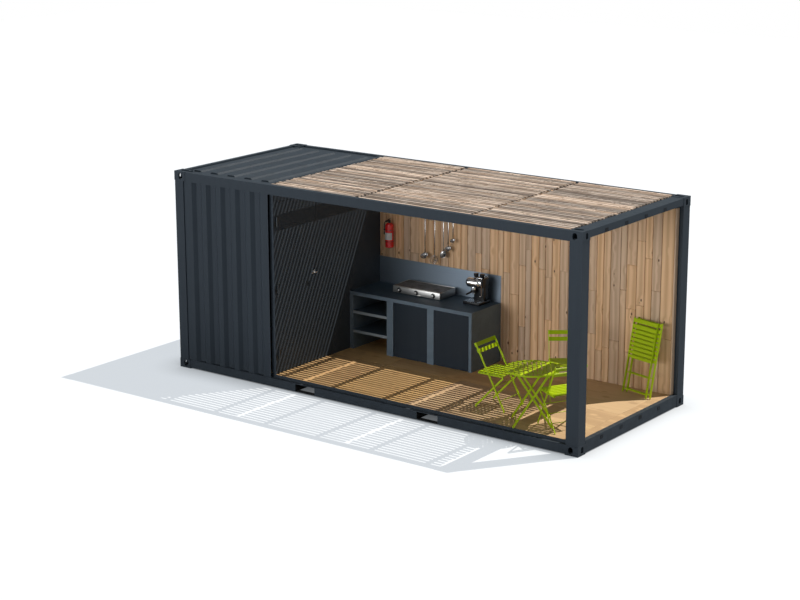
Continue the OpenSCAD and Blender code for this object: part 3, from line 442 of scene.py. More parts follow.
bands = node(tree, "TexWave", {"Vector": stretched(tree, bent, (1, 1, 0.07)),
                               "Scale": grain["Bands"], "Distortion": 5.0, "Detail": 3.0,
                               "Detail Scale": 1.4, "Detail Roughness": 0.6},
             wave_type="BANDS", bands_direction="X")["Fac"]
pores = noise(tree, stretched(tree, own, (150, 150, 3.5)), 1.0, 4.0, 0.65)
blotches = noise(tree, stretched(tree, own, (7, 7, 1.3)), 1.0, 3.0)
dark_share = plus(tree, times(tree, bands, 0.45), times(tree, pores, 0.35))
dark_share = plus(tree, dark_share, times(tree, blotches, 0.35))
colour = mix(tree, ramp(tree, dark_share, 0.25, 0.95), grain["Light"], grain["Dark"])
lottery = node(tree, "TexWhiteNoise", {"W": grain["Board"]}, noise_dimensions="1D")
lift = node(tree, "MapRange", {"Value": lottery["Value"], "To Min": -1.0, "To Max": 1.0})[0]
lift = plus(tree, 1.0, times(tree, lift, grain["Tone spread"]))
depth_of_colour = ramp(tree, lottery["Value"], 0, 1, 0.88, 1.08)
colour = node(tree, "HueSaturation", {"Color": colour, "Value": lift,
                                      "Saturation": depth_of_colour})[0]
colour = mix(tree, heart, colour, grain["Knot"])
height = plus(tree, times(tree, bands, -0.6), times(tree, pores, -0.8))
rough = plus(tree, 0.52, times(tree, dark_share, 0.2))
wood = close_group(tree, {"Colour": colour, "Roughness": rough, "Height": height})


def wooden(name, light, dark, knot, knots, spread, bands, turn, depth, strength, **fixed):
    """A wooden finish; the turn lays the grain from Z along the boards."""
    material, tree, shader, place = new_material(name, **fixed)
    board = node(tree, "Attribute", attribute_name="board")["Fac"]
    veins = node(tree, "Group", {
        "Place": stretched(tree, place, (1, 1, 1), turn), "Board": board, "Light": light,
        "Dark": dark, "Knot": knot, "Knots": knots, "Tone spread": spread, "Bands": bands},
        node_tree=wood)
    finish_surface(tree, shader, veins["Colour"], veins["Roughness"], veins["Height"], depth,
                   strength)
    return material, tree, shader, place, veins


lengthways = (0, math.pi / 2, 0)

floor_low, floor_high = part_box("floor_boards")
fitting_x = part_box("corner_fittings_bottom")[1].x - fitting_length - fitting_gap
fitting_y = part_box("corner_fittings_bottom")[1].y - fitting_width - fitting_gap
sheets = []
sheet_count = round(2 * fitting_x / sheet_length)
sheet_step = 2 * fitting_x / sheet_count
for row, (y0, y1) in enumerate([(floor_low.y, 0.0), (0.0, floor_high.y)]):
    for column in range(sheet_count):
        x0 = -fitting_x + column * sheet_step
        sheets.append(add_block(
            "sheet", (x0 + sheet_gap / 2, y0 + sheet_gap / 2, floor_low.z),
            (x0 + sheet_step - sheet_gap / 2, y1 - sheet_gap / 2, floor_high.z), sheet_edge, 1))
        mark(sheets[-1], 3 + row * 17 + column * 5)
for side in (-1, 1):
    ends = sorted((side * (fitting_x + sheet_gap / 2), side * floor_high.x))
    sheets.append(add_block("sheet", (ends[0], -fitting_y, floor_low.z),
                            (ends[1], fitting_y, floor_high.z), sheet_edge, 1))
    mark(sheets[-1], 60 + side)
floor_material = wooden("floor_plywood", veneer_light, veneer_dark, veneer_dark, 0.0, 0.05, 4.0,
                        lengthways, 0.0004, 0.4)[0]
fit(join(sheets, "floor_sheets"), floor_material, cabin, "floor_plywood", "floor_boards")


# ---- Slatted terrace roof --------------------------------------------------------------
# Rough-sawn softwood slats, greyed by the weather, lie along the roof in three panels.
# Each is nailed to a batten on every joist, and none is quite straight or cut to length.
slat_count = 33
slat_width = 0.038
slat_parts = 14
slat_edge = 0.003
slat_waver = 0.0016
end_waver = 0.024
slat_thinning = 0.003
batten_width = 0.040
batten_height = 0.020
batten_inset = 0.003
joist_count = 6
joist_width = 0.045
nail_radius = 0.0042
nail_height = 0.003
nail_edge = 0.0008
silvered = (0.700, 0.580, 0.485, 1)
bleached = (0.84, 0.74, 0.66, 1)
sun_browned = (0.350, 0.250, 0.180, 1)
slat_crack = (0.080, 0.054, 0.038, 1)
nail_steel = (0.25, 0.24, 0.23, 1)
nail_rust = (0.12, 0.05, 0.025, 1)


def copy_to(piece, move):
    """A copy with its own mesh, set off by a distance."""
    twin = piece.copy()
    twin.data = piece.data.copy()
    twin.data.transform(Matrix.Translation(move))
    scene.collection.objects.link(twin)
    return twin


def add_slat(name, x0, x1, y, z0, z1, draw):
    """A sawn slat, cut into lengths that are each pushed a little out of line."""
    slat = add_block(name, (x0 + draw.uniform(0, end_waver), y, z0),
                     (x1 - draw.uniform(0, end_waver), y + slat_width, z1))

    def is_long(edge):
        ends = [slat.data.vertices[i].co.x for i in edge.vertices]
        return abs(ends[0] - ends[1]) > 0.1

    round_off(slat, "edges", is_long, slat_edge, 1)
    edit_parts(slat, "edges", is_long)
    bpy.ops.mesh.subdivide(number_cuts=slat_parts)
    bpy.ops.object.mode_set(mode="OBJECT")
    waver = [draw.uniform(-slat_waver, slat_waver) for _ in range(slat_parts + 4)]
    width = [draw.uniform(0.94, 1.06) for _ in range(slat_parts + 4)]
    centre = y + slat_width / 2
    for vertex in slat.data.vertices:
        part = (vertex.co.x - x0) / (x1 - x0) * slat_parts
        here = min(max(int(part), 0), slat_parts + 2)
        share = min(max(part - here, 0), 1)
        push = waver[here] * (1 - share) + waver[here + 1] * share
        stretch = width[here] * (1 - share) + width[here + 1] * share
        vertex.co.y = centre + (vertex.co.y - centre) * stretch + push
    return slat


slat_material, tree, shader, place, veins = wooden(
    "weathered_slats", silvered, sun_browned, slat_crack, 0.5, 0.52, 14.0, lengthways, 0.0012, 0.7)
stain = noise(tree, stretched(tree, place, (1.6, 26, 26)), 1.0, 5.0, 0.7)
stained = mix(tree, ramp(tree, stain, 0.54, 0.68, 0.0, 0.9), veins["Colour"], slat_crack)
finish_surface(tree, shader, mix(tree, ramp(tree, stain, 0.44, 0.25, 0.0, 0.65), stained, bleached))

nail_material, tree, shader, place = new_material("nail_steel", 1.0)
rust = ramp(tree, noise(tree, place, 90.0, 3.0), 0.35, 0.65)
finish_surface(tree, shader, mix(tree, rust, nail_steel, nail_rust),
               ramp(tree, rust, 0, 1, 0.4, 0.85), rust, 0.0005)

joist_low, joist_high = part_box("roof_joists")
joist_places = [joist_low.x + joist_width / 2 + i * (joist_high.x - joist_low.x - joist_width)
                / (joist_count - 1) for i in range(joist_count)]
draw = random.Random(31)
for panel, name in enumerate(["left", "middle", "right"]):
    low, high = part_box("slat_panel_" + name)
    batten_top = low.z + batten_height
    pitch = (high.y - low.y - slat_width) / (slat_count - 1)
    pieces = []
    nails = []
    for i in range(slat_count):
        y = low.y + i * pitch
        pieces.append(add_slat("slat", low.x, high.x, y, batten_top,
                               high.z - draw.uniform(0, slat_thinning), draw))
        mark(pieces[-1], panel * 61.7 + i * 1.37 + 1)
    for x in joist_places:
        if low.x < x < high.x:
            pieces.append(add_block(
                "batten", (x - batten_width / 2, low.y + batten_inset, low.z),
                (x + batten_width / 2, high.y - batten_inset, batten_top + 0.0005), 0.002, 1))
            mark(pieces[-1], 200 + x)
            for i in range(slat_count):
                nails.append((x + draw.uniform(-0.012, 0.012),
                              low.y + i * pitch + slat_width / 2 + draw.uniform(-0.008, 0.008)))
    slats = smooth(join(pieces, "roof_slats_" + name), 20)
    fit(slats, slat_material, cabin, "weathered_wood", "slat_panel_" + name)
    first_x, first_y = nails[0]
    bpy.ops.mesh.primitive_cylinder_add(vertices=8, radius=nail_radius, depth=nail_height,
                                        location=(first_x, first_y, high.z - 0.001))
    bpy.ops.object.transform_apply()
    head = bpy.context.object
    round_off(head, "edges", lambda edge: True, nail_edge, 1)
    heads = [head] + [copy_to(head, (x - first_x, y - first_y, 0)) for x, y in nails[1:]]
    fit(join(heads, "slat_nails_" + name), nail_material, cabin, "hinge_steel")


# ---- Partition and store door ----------------------------------------------------------
# Faced boards in the container's colour close off the store. The door hangs on three
# steel hinges and has a brushed lever on a round rose on each side.
panel_paint = (0.056, 0.070, 0.086, 1)
panel_chalk = (0.066, 0.081, 0.098, 1)
hinge_colour = (0.09, 0.10, 0.11, 1)
lever_colour = (0.74, 0.75, 0.76, 1)

panel_material = painted("partition_paint", panel_paint, panel_chalk, 0.4, panel_chalk, 0.5, 0.3,
                         0.40, 0.0003, Specular_IOR_Level=0.12)
coat(["partition_jamb", "partition_wall", "partition_head", "store_door"], panel_material)

# Metal drawn with an abrasive belt: fine parallel lines that scatter the light.
tree, lines = new_group(
    "brushing",
    {"Place": ("Vector", None), "Metal": ("Color", (0.7, 0.7, 0.7, 1)), "Gloss": ("Float", 0.3),
     "Contrast": ("Float", 0.1)},
    {"Colour": "Color", "Roughness": "Float", "Height": "Float"})
fine = noise(tree, lines["Place"], 1.0, 4.0, 0.7)
smudges = noise(tree, stretched(tree, lines["Place"], (0.05, 0.05, 0.5)), 1.0, 3.0)
dull = times(tree, ramp(tree, fine, 0.2, 0.8), lines["Contrast"])
colour = mix(tree, dull, lines["Metal"], (0.1, 0.1, 0.1, 1))
rough = plus(tree, lines["Gloss"], times(tree, plus(tree, fine, smudges), 0.12))
brushing = close_group(tree, {"Colour": colour, "Roughness": rough, "Height": fine})


def brushed(name, metal, gloss, contrast, scale, depth=0.0001):
    """Brushed metal; the pattern is fine across the lines and long along them."""
    material, tree, shader, place = new_material(name, 1.0)
    lines = node(tree, "Group", {
        "Place": stretched(tree, place, scale), "Metal": metal, "Gloss": gloss,
        "Contrast": contrast}, node_tree=brushing)
    finish_surface(tree, shader, lines["Colour"], lines["Roughness"], lines["Height"], depth, 0.3)
    return material


hinge_material = brushed("hinge_steel", hinge_colour, 0.35, 0.3, (60, 60, 600))
lever_material = brushed("lever_steel", lever_colour, 0.22, 0.15, (800, 20, 800))
coat(["hinge_pins", "door_hinge_sleeves"], hinge_material)
coat(["door_lever"], lever_material)


# ---- Wall lining -----------------------------------------------------------------------
# Upright softwood boards of mixed widths and lengths, butted end to end at random, clear
# varnished and fixed to level rails on the rear wall. A planed board closes the end.
board_widths = (0.085, 0.098, 0.112, 0.125, 0.138)
board_gap = 0.005
board_edge = 0.005
board_lengths = (0.55, 0.8, 1.1, 1.5, 1.9)
first_lengths = (0.35, 1.9)
narrowest_board = 0.07
shortest_board = 0.25
board_set_back = 0.0012
end_joint = 0.0015
pine_light = (0.810, 0.545, 0.330, 1)
pine_dark = (0.620, 0.380, 0.212, 1)
pine_knot = (0.150, 0.070, 0.036, 1)

lining_material = wooden("lining_boards", pine_light, pine_dark, pine_knot, 1.0, 0.14, 4.0,
                         (0, 0, 0), 0.0006, 0.6, Coat_Weight=0.12)[0]

low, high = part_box("wall_lining")
draw = random.Random(7)
boards = []
x = low.x
while x < high.x - 0.03:
    width = draw.choice(board_widths)
    if high.x - x - width < narrowest_board:
        width = high.x - x
    z = low.z
    first_length = draw.uniform(*first_lengths)
    while z < high.z - 0.02:
        length = first_length if z == low.z else draw.choice(board_lengths)
        if high.z - z - length < shortest_board:
            length = high.z - z
        set_back = draw.uniform(0, board_set_back)
        boards.append(add_block(
            "board", (x + board_gap / 2, low.y + set_back, z),
            (x + width - board_gap / 2, high.y, z + length - end_joint), board_edge, 1))
        mark(boards[-1], draw.uniform(0, 90))
        z += length
    x += width
fit(join(boards, "lining_boards"), lining_material, cabin, "lining_boards", "wall_lining")

low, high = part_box("lining_end_board")
end_board = add_block("lining_edge_board", low, high, 0.003, 2)
mark(end_board, 41.0)
fit(end_board, lining_material, cabin, "lining_boards", "lining_end_board")

rail_material = wooden("lining_rails", pine_light, pine_dark, pine_knot, 0.6, 0.2, 9.0,
                       lengthways, 0.001, 0.6)[0]
coat(["lining_rails_rear"], rail_material)


# ---- Kitchen counter -------------------------------------------------------------------
# Built from slabs with a trowelled mineral render, tinted blue-grey and sealed, with one
# open bay of shelves and two bays that plain dark doors close on pivot pins.
render_light = (0.165, 0.220, 0.275, 1)
render_dark = (0.125, 0.170, 0.215, 1)
# Painted shade for what faces up.
render_top_shade = (0.020, 0.046, 0.074, 1)
# A lighter copy of the counter's render: a painted highlight on the shelves' edges.
shelf_light = (0.300, 0.350, 0.385, 1)
shelf_dark = (0.230, 0.280, 0.315, 1)
door_paint = (0.019, 0.028, 0.040, 1)
door_chalk = (0.026, 0.037, 0.050, 1)


def rendered(name, light, dark):
    """Trowelled render; what faces up is painted darker, a painted shade."""
    material, tree, shader, place = new_material(name, Specular_IOR_Level=0.15)
    clouds = noise(tree, place, 3.2, 5.0, 0.62, 0.5)
    sweeps = noise(tree, stretched(tree, place, (3, 22, 22)), 1.0, 4.0, 0.6)
    sand = noise(tree, place, 340.0, 2.0)
    tone = plus(tree, times(tree, clouds, 0.6), times(tree, sweeps, 0.4))
    colour = mix(tree, ramp(tree, tone, 0.3, 0.7), dark, light)
    facing_z = node(tree, "SeparateXYZ", {0: node(tree, "NewGeometry")["Normal"]})["Z"]
    # Up-facing faces are mixed towards a dark tone: painted shade.
    colour = mix(tree, ramp(tree, facing_z, 0.5, 0.95, 0.0, 0.8), colour, render_top_shade)
    finish_surface(tree, shader, colour, ramp(tree, tone, 0.2, 0.8, 0.42, 0.58),
                   plus(tree, tone, times(tree, sand, 0.25)), 0.0008, 0.4)
    return material


render_material = rendered("counter_render", render_light, render_dark)
# The shelves take the lighter copy of the render, a painted highlight; their tops are painted
# darker like the counter's.
shelf_highlight_material = rendered("shelf_render_highlight", shelf_light, shelf_dark)
coat(["counter_top", "counter_sides"], render_material)
coat(["counter_shelves"], shelf_highlight_material)

cupboard_material = painted("cupboard_paint", door_paint, door_chalk, 0.3, door_chalk, 0.4, 0.2,
                            0.38, 0.0003, Specular_IOR_Level=0.15)
coat(["cupboard_door_left", "cupboard_door_right"], cupboard_material)


# ---- Splashback ------------------------------------------------------------------------
# A sheet of brushed stainless steel against the lining, as long as the counter.
splash_colour = (0.28, 0.34, 0.41, 1)
splash_material = brushed("splashback_steel", splash_colour, 0.30, 0.12, (6, 900, 900))
coat(["splashback"], splash_material)


# ---- Griddle ---------------------------------------------------------------------------
# A bench griddle: a folded stainless body on rubber feet, a low guard round three sides of
# its seasoned steel plate, a grease drawer, and three black knobs with polished caps.
guard_height = 0.008
guard_sheet = 0.004
plate_inset = 0.012
knob_radius = 0.026
ring_radius = 0.033
knob_depth = 0.024
griddle_foot = 0.010
foot_inset = 0.04
griddle_colour = (0.54, 0.53, 0.51, 1)
plate_light = (0.165, 0.150, 0.132, 1)
plate_dark = (0.110, 0.098, 0.086, 1)
knob_black = (0.012, 0.012, 0.013, 1)
knob_worn = (0.019, 0.019, 0.020, 1)


def mottled(name, first, second, patches, sheen, smoothest, roughest, grain=0, detail=3.0,
            **fixed):
    """A finish whose tone and sheen vary in patches; a grain roughens it finely."""
    material, tree, shader, place = new_material(name, **fixed)
    tone = mix(tree, noise(tree, place, patches, detail), first, second)
    rough = ramp(tree, noise(tree, place, sheen), 0, 1, smoothest, roughest)
    height = noise(tree, place, grain, 2.0) if grain else None
    finish_surface(tree, shader, tone, rough, height, 0.0002, 0.3)
    return material


griddle_material = brushed("griddle_steel", griddle_colour, 0.30, 0.12, (6, 900, 900))

plate_material, tree, shader, place = new_material("seasoned_plate", 0.3)
burnt = noise(tree, place, 9.0, 4.0, 0.6, 0.6)
finish_surface(tree, shader, mix(tree, ramp(tree, burnt, 0.3, 0.7), plate_light, plate_dark),
               ramp(tree, burnt, 0.3, 0.7, 0.45, 0.62), burnt, 0.0003, 0.4)
black_material = mottled("knob_plastic", knob_black, knob_worn, 45.0, 60.0, 0.32, 0.46, 900.0,
                         Coat_Weight=0.2)


def add_rod(name, centre, radius, length, turn=(0, 0, 0), edge=0.0, steps=2, sides=32,
            end_radius=None):
    """A round bar, or a cone when it has an end radius, with its two rims rounded off."""
    bpy.ops.mesh.primitive_cone_add(vertices=sides, radius1=radius, depth=length,
                                    radius2=radius if end_radius is None else end_radius)
    rod = bpy.context.object
    rod.name = name
    if edge:
        round_off(rod, "polygons", lambda face: abs(face.normal.z) > 0.99, edge, steps)
    rod.rotation_euler = turn
    rod.location = centre
    bpy.ops.object.transform_apply()
    return smooth(rod)


def sink_top(piece, smallest, rim, drop):
    """Sets a piece's upper faces over a smallest area down inside a rim."""
    edit_parts(piece, "polygons", lambda face: face.normal.z > 0.9 and face.area > smallest)
    bpy.ops.mesh.inset(thickness=rim)
    bpy.ops.transform.translate(value=(0, 0, -drop))
    bpy.ops.object.mode_set(mode="OBJECT")


low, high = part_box("griddle")
foot_top = low.z + griddle_foot
plate_z = high.z - guard_height
body = add_block("griddle_body", (low.x, low.y, foot_top), (high.x, high.y, plate_z), 0.003)
guards = [add_block("guard", (low.x, high.y - guard_sheet, plate_z - 0.002), high, 0.0015)]
for x in (low.x, high.x - guard_sheet):
    guard = add_block("guard", (x, low.y + 0.11, plate_z - 0.002),
                      (x + guard_sheet, high.y - 0.001, high.z), 0.0015)
    for corner in guard.data.vertices:
        if corner.co.z > plate_z + guard_height / 3 and corner.co.y < low.y + 0.12:
            corner.co.y += 0.05
    guards.append(guard)
fascia = add_block("fascia", (low.x + 0.004, low.y - 0.0015, foot_top + 0.006),
                   (high.x - 0.004, low.y + 0.004, plate_z - 0.006), 0.0012)
drawer = add_block("drawer", (low.x + 0.30, low.y - 0.0045, foot_top + 0.003),
                   (high.x - 0.30, low.y + 0.004, foot_top + 0.017), 0.0015)
griddle_body = smooth(join([body, *guards, fascia, drawer], "griddle_body"))
fit(griddle_body, griddle_material, cabin, "griddle_steel", "griddle")

plate = add_block("griddle_plate", (low.x + plate_inset, low.y + 0.022, plate_z - 0.001),
                  (high.x - plate_inset, high.y - plate_inset, plate_z + 0.005), 0.002)
sink_top(plate, 0.05, 0.006, 0.0015)
fit(smooth(plate), plate_material, cabin, "griddle_steel")

knob_low, knob_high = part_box("griddle_knobs")
knob_z = (knob_low.z + knob_high.z) / 2
first = Vector((knob_low.x + knob_radius, low.y, knob_z))
knob_step = (knob_high.x - knob_low.x - 2 * knob_radius) / 2
crossways = (math.pi / 2, 0, 0)
ring = add_rod("ring", first + Vector((0, -0.002, 0)), ring_radius, 0.005, crossways, 0.001, 2)
skirt = add_rod("skirt", first + Vector((0, -0.008, 0)), knob_radius, 0.009, crossways, 0.002, 3,
                end_radius=knob_radius * 0.9)
grip = add_rod("grip", first + Vector((0, -0.016, 0)), 0.020, 0.016, crossways, 0.002, 3,
               end_radius=0.018)
cap = add_rod("cap", first + Vector((0, -knob_depth, 0)), 0.015, 0.003, crossways, 0.001, 2)
knob = join([ring, skirt, grip], "knob")
caps = [cap] + [copy_to(cap, (i * knob_step, 0, 0)) for i in (1, 2)]
knobs = [knob] + [copy_to(knob, (i * knob_step, 0, 0)) for i in (1, 2)]
griddle_knobs = smooth(join(knobs, "griddle_knob_set"))
fit(griddle_knobs, black_material, cabin, "knob_plastic", "griddle_knobs")
fit(join(caps, "knob_caps"), griddle_material, cabin, "griddle_steel")

feet = []
for x in (low.x + foot_inset, high.x - foot_inset):
    for y in (low.y + foot_inset, high.y - foot_inset):
        feet.append(add_rod("foot", (x, y, (low.z + foot_top) / 2), 0.018, foot_top - low.z,
                            edge=0.002))
fit(join(feet, "griddle_feet"), black_material, cabin, "knob_plastic")


# ---- Coffee machine --------------------------------------------------------------------
# A small espresso machine: a black enamelled base, column and housing, a chromed drum
# with domed ends before it, the brewing group with its black filter holder, a chromed
# roundel, a steam pipe, and two black cups that lean together on its railed top.
low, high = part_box("coffee_machine")
tray_top = low.z + 0.045
drum_radius = 0.062
drum_length = 0.200
drum_y = low.y + 0.105
drum_z = high.z - 0.115
housing_x = low.x + 0.095
housing_y = low.y + 0.075
housing_low = drum_z - 0.055
housing_top = high.z - 0.052
group_x = low.x + 0.105
group_y = drum_y - 0.010
roundel_x = high.x - 0.045
rail_places = (housing_y + 0.008, high.y - 0.040)
enamel_black = (0.010, 0.011, 0.013, 1)
enamel_grey = (0.018, 0.019, 0.021, 1)
chrome_clear = (0.83, 0.84, 0.85, 1)
chrome_hazy = (0.72, 0.73, 0.75, 1)

enamel_material = mottled("black_enamel", enamel_black, enamel_grey, 20.0, 35.0, 0.16, 0.26,
                          Coat_Weight=0.2, Specular_IOR_Level=0.3)
chrome_material, tree, shader, place = new_material("coffee_chrome", 1.0)
haze = noise(tree, place, 30.0, 4.0)
finish_surface(tree, shader, mix(tree, ramp(tree, haze, 0.4, 0.8), chrome_clear, chrome_hazy),
               ramp(tree, haze, 0.3, 0.8, 0.06, 0.16))

base = add_block("coffee_base", low, (high.x, high.y, tray_top - 0.006), 0.008, 3)
sink_top(base, 0.01, 0.012, 0.006)
column = add_block("column", (low.x + 0.080, high.y - 0.130, tray_top - 0.012),
                   (high.x - 0.015, high.y - 0.030, housing_low + 0.010), 0.012, 4)
housing = add_block("housing", (housing_x, housing_y, housing_low),
                    (high.x, high.y - 0.020, housing_top), 0.020, 5)
holder = add_rod("holder", (group_x, group_y, drum_z - 0.108), 0.036, 0.034, edge=0.006, steps=3)
handle = add_rod("handle", (group_x - 0.012, group_y - 0.085, drum_z - 0.116), 0.014, 0.110,
                 (math.pi / 2 + 0.16, 0, -0.14), 0.005, 3, end_radius=0.011)
cups = [add_rod("cup", (along, drum_y + 0.055, high.z - 0.029), 0.026, 0.052,
                (0, lean, 0), 0.004, 3, end_radius=0.033)
        for along, lean in ((low.x + 0.098, -0.10), (low.x + 0.190, 0.14))]
coffee_body = smooth(join([base, column, housing, holder, handle, *cups], "coffee_body"))
fit(coffee_body, enamel_material, cabin, "coffee_chrome", "coffee_machine")

drum = add_rod("drum", (low.x + drum_length / 2, drum_y, drum_z), drum_radius, drum_length,
               lengthways, 0.034, 8, 48)
band = add_rod("band", (housing_x - 0.004, drum_y, drum_z), drum_radius + 0.002, 0.008,
               lengthways, 0.001, 2, 48)
group = add_rod("group", (group_x, group_y, drum_z - 0.072), 0.030, 0.042, edge=0.006, steps=3)
spouts = [add_rod("spout", (group_x + side * 0.012, group_y, drum_z - 0.135), 0.006, 0.030,
                  edge=0.001) for side in (-1, 1)]
grid = [add_block("grid_bar", (low.x + 0.016 + i * 0.0125, low.y + 0.014, tray_top - 0.012),
                  (low.x + 0.021 + i * 0.0125, high.y - 0.112, tray_top - 0.006), 0.001, 1)
        for i in range(18)]
roundel = add_rod("roundel", (roundel_x, housing_y - 0.003, drum_z + 0.002), 0.029, 0.012,
                  crossways, 0.003)
tray_rim = [add_block("cup_rail", (housing_x + 0.010, y, housing_top + 0.006),
                      (high.x - 0.010, y + 0.005, housing_top + 0.012), 0.002)
            for y in rail_places]
posts = [add_rod("rail_post", (x, y + 0.0025, housing_top + 0.004), 0.003, 0.014)
         for x in (housing_x + 0.020, high.x - 0.020) for y in rail_places]
steam = [add_rod("steam_pipe", (high.x - 0.018, group_y - 0.020, high.z - 0.200), 0.004, 0.15,
                 (0.18, 0.08, 0), 0.001, 1, 16),
         add_rod("steam_tip", (high.x - 0.024, group_y - 0.034, high.z - 0.272), 0.006, 0.012,
                 crossways, 0.003)]
coffee_bright = join([drum, band, group, *spouts, *grid, roundel, *tray_rim, *posts, *steam],
                     "coffee_bright_parts")
fit(smooth(coffee_bright), chrome_material, cabin, "coffee_chrome")


# ---- Fire extinguisher -----------------------------------------------------------------
# A small powder extinguisher: red enamelled bottle with a plain white label, black valve
# with two levers and a short hose clipped to it, held by a steel bracket on the lining.
low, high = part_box("fire_extinguisher")
bottle_radius = 0.055
bottle_x = (low.x + high.x) / 2
bottle_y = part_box("wall_lining")[0].y - bottle_radius - 0.012
bottle_high = low.z + 0.330
shoulder_radius = 0.042
bottle_foot = 0.012
label_height = 0.095
label_sheet = 0.0008
hose_radius = 0.006
signal_red = (0.940, 0.016, 0.018, 1)
deep_red = (0.860, 0.014, 0.015, 1)
label_white = (0.80, 0.80, 0.79, 1)
label_grey = (0.70, 0.70, 0.70, 1)

red_material = mottled("extinguisher_paint", signal_red, deep_red, 20.0, 40.0, 0.22, 0.36,
                       Coat_Weight=0.6)
label_material = mottled("plain_label", label_white, label_grey, 30.0, 60.0, 0.4, 0.5)

bottle = add_rod("extinguisher_bottle", (bottle_x, bottle_y, (low.z + bottle_high) / 2),
                 bottle_radius, bottle_high - low.z, sides=48)
round_off(bottle, "polygons", lambda face: face.normal.z > 0.9, shoulder_radius, 9)
round_off(bottle, "polygons", lambda face: face.normal.z < -0.9, bottle_foot, 4)
fit(smooth(bottle), red_material, cabin, "extinguisher_paint", "fire_extinguisher")

bpy.ops.mesh.primitive_cylinder_add(
    vertices=48, radius=bottle_radius + 0.0005, depth=label_height, end_fill_type="NOTHING",
    location=(bottle_x, bottle_y, low.z + 0.155))
bpy.ops.object.transform_apply()
label = bpy.context.object
label.name = "extinguisher_label"
edit_parts(label, "polygons", lambda face: face.normal.y > -0.25)
bpy.ops.mesh.delete(type="FACE")
bpy.ops.object.mode_set(mode="OBJECT")
sheet = label.modifiers.new("sheet", "SOLIDIFY")
sheet.thickness = label_sheet
sheet.offset = 1
bpy.ops.object.modifier_apply(modifier="sheet")
fit(smooth(label), label_material, cabin, "extinguisher_paint")

valve_z = bottle_high + 0.012
valve = [add_rod("collar", (bottle_x, bottle_y, bottle_high), 0.017, 0.020, edge=0.002),
         add_block("valve", (bottle_x - 0.011, bottle_y - 0.016, valve_z - 0.006),
                   (bottle_x + 0.011, bottle_y + 0.016, valve_z + 0.022), 0.003),
         add_rod("carrying_handle", (bottle_x, bottle_y - 0.030, valve_z + 0.012), 0.006, 0.085,
                 (math.pi / 2 - 0.10, 0, 0), 0.003),
         add_rod("squeeze_lever", (bottle_x, bottle_y - 0.022, valve_z + 0.031), 0.0055, 0.092,
                 (math.pi / 2 + 0.20, 0, 0), 0.003),
         add_rod("base_ring", (bottle_x, bottle_y, low.z + 0.005), bottle_radius * 0.93, 0.010,
                 edge=0.003, sides=48),
         add_block("hose_clip", (bottle_x - 0.074, bottle_y - 0.031, low.z + 0.228),
                   (bottle_x - 0.042, bottle_y - 0.012, low.z + 0.242), 0.002)]
bottle_foot_centre = Vector((bottle_x, bottle_y, low.z))
hose_points = [(-0.012, 0.0, 0.345), (-0.045, -0.004, 0.352), (-0.068, -0.010, 0.325),
               (-0.070, -0.016, 0.270), (-0.066, -0.022, 0.215)]
hose_line = bpy.data.curves.new("hose", "CURVE")
hose_line.dimensions = "3D"
hose_line.bevel_depth = hose_radius
hose_line.bevel_resolution = 3
hose_line.use_fill_caps = True
spline = hose_line.splines.new("BEZIER")
spline.bezier_points.add(len(hose_points) - 1)
for point, offset in zip(spline.bezier_points, hose_points):
    point.co = bottle_foot_centre + Vector(offset)
    point.handle_left_type = point.handle_right_type = "AUTO"
hose = bpy.data.objects.new("hose", hose_line)
scene.collection.objects.link(hose)
pick(hose)
bpy.ops.object.convert(target="MESH")
nozzle = add_rod("nozzle", bottle_foot_centre + Vector((-0.066, -0.024, 0.195)), 0.009, 0.045,
                 edge=0.002, end_radius=0.007)
valve_set = smooth(join([*valve, bpy.data.objects["hose"], nozzle], "extinguisher_valve"))
fit(valve_set, black_material, cabin, "knob_plastic")

straps = [add_rod("strap", (bottle_x, bottle_y, low.z + level), bottle_radius + 0.0012, 0.006,
                  edge=0.0006, sides=48) for level in (0.085, 0.235)]
wall_plate = add_block("wall_plate", (bottle_x - 0.018, bottle_y + bottle_radius - 0.004,
                                      low.z + 0.06),
                       (bottle_x + 0.018, bottle_y + bottle_radius + 0.0118, low.z + 0.26), 0.002)
bracket = smooth(join([*straps, wall_plate], "extinguisher_bracket"))
fit(bracket, hinge_material, cabin, "hinge_steel")


# ---- Utensil rail ----------------------------------------------------------------------
# A polished rail on two brackets carries five steel utensils by hooks bent in their flat
# handles: two ladles, a wire sieve, a dished skimmer and a small ladle.
rail_low, rail_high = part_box("utensil_rail")
low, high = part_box("utensils")
rod_radius = 0.006
rail_y = rail_low.y + rod_radius
rail_z = (rail_low.z + rail_high.z) / 2
wall_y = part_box("wall_lining")[0].y
bowl_tilt = 0.55
skimmer_tilt = 1.1
sieve_tilt = 1.0
hang_y = rail_y - 0.018
utensil_colour = (0.50, 0.49, 0.48, 1)

utensil_material = brushed("utensil_steel", utensil_colour, 0.14, 0.30, (500, 500, 20))
hanging_bar = add_rod("rail", ((rail_low.x + rail_high.x) / 2, rail_y, rail_z), rod_radius,
                      rail_high.x - rail_low.x, lengthways, 0.002)
knobs = [add_rod("rail_end", (x, rail_y, rail_z), 0.009, 0.016, lengthways, 0.004, 3)
         for x in (rail_low.x + 0.008, rail_high.x - 0.008)]
arms = []
for x in (rail_low.x + 0.04, rail_high.x - 0.04):
    arms.append(add_rod("arm", (x, (rail_y + wall_y) / 2, rail_z), 0.005, wall_y - rail_y,
                        crossways))
    arms.append(add_rod("flange", (x, wall_y - 0.002, rail_z), 0.016, 0.004, crossways, 0.001))
utensil_rail = smooth(join([hanging_bar, *knobs, *arms], "hanging_rail"))
fit(utensil_rail, chrome_material, cabin, "utensil_steel", "utensil_rail")


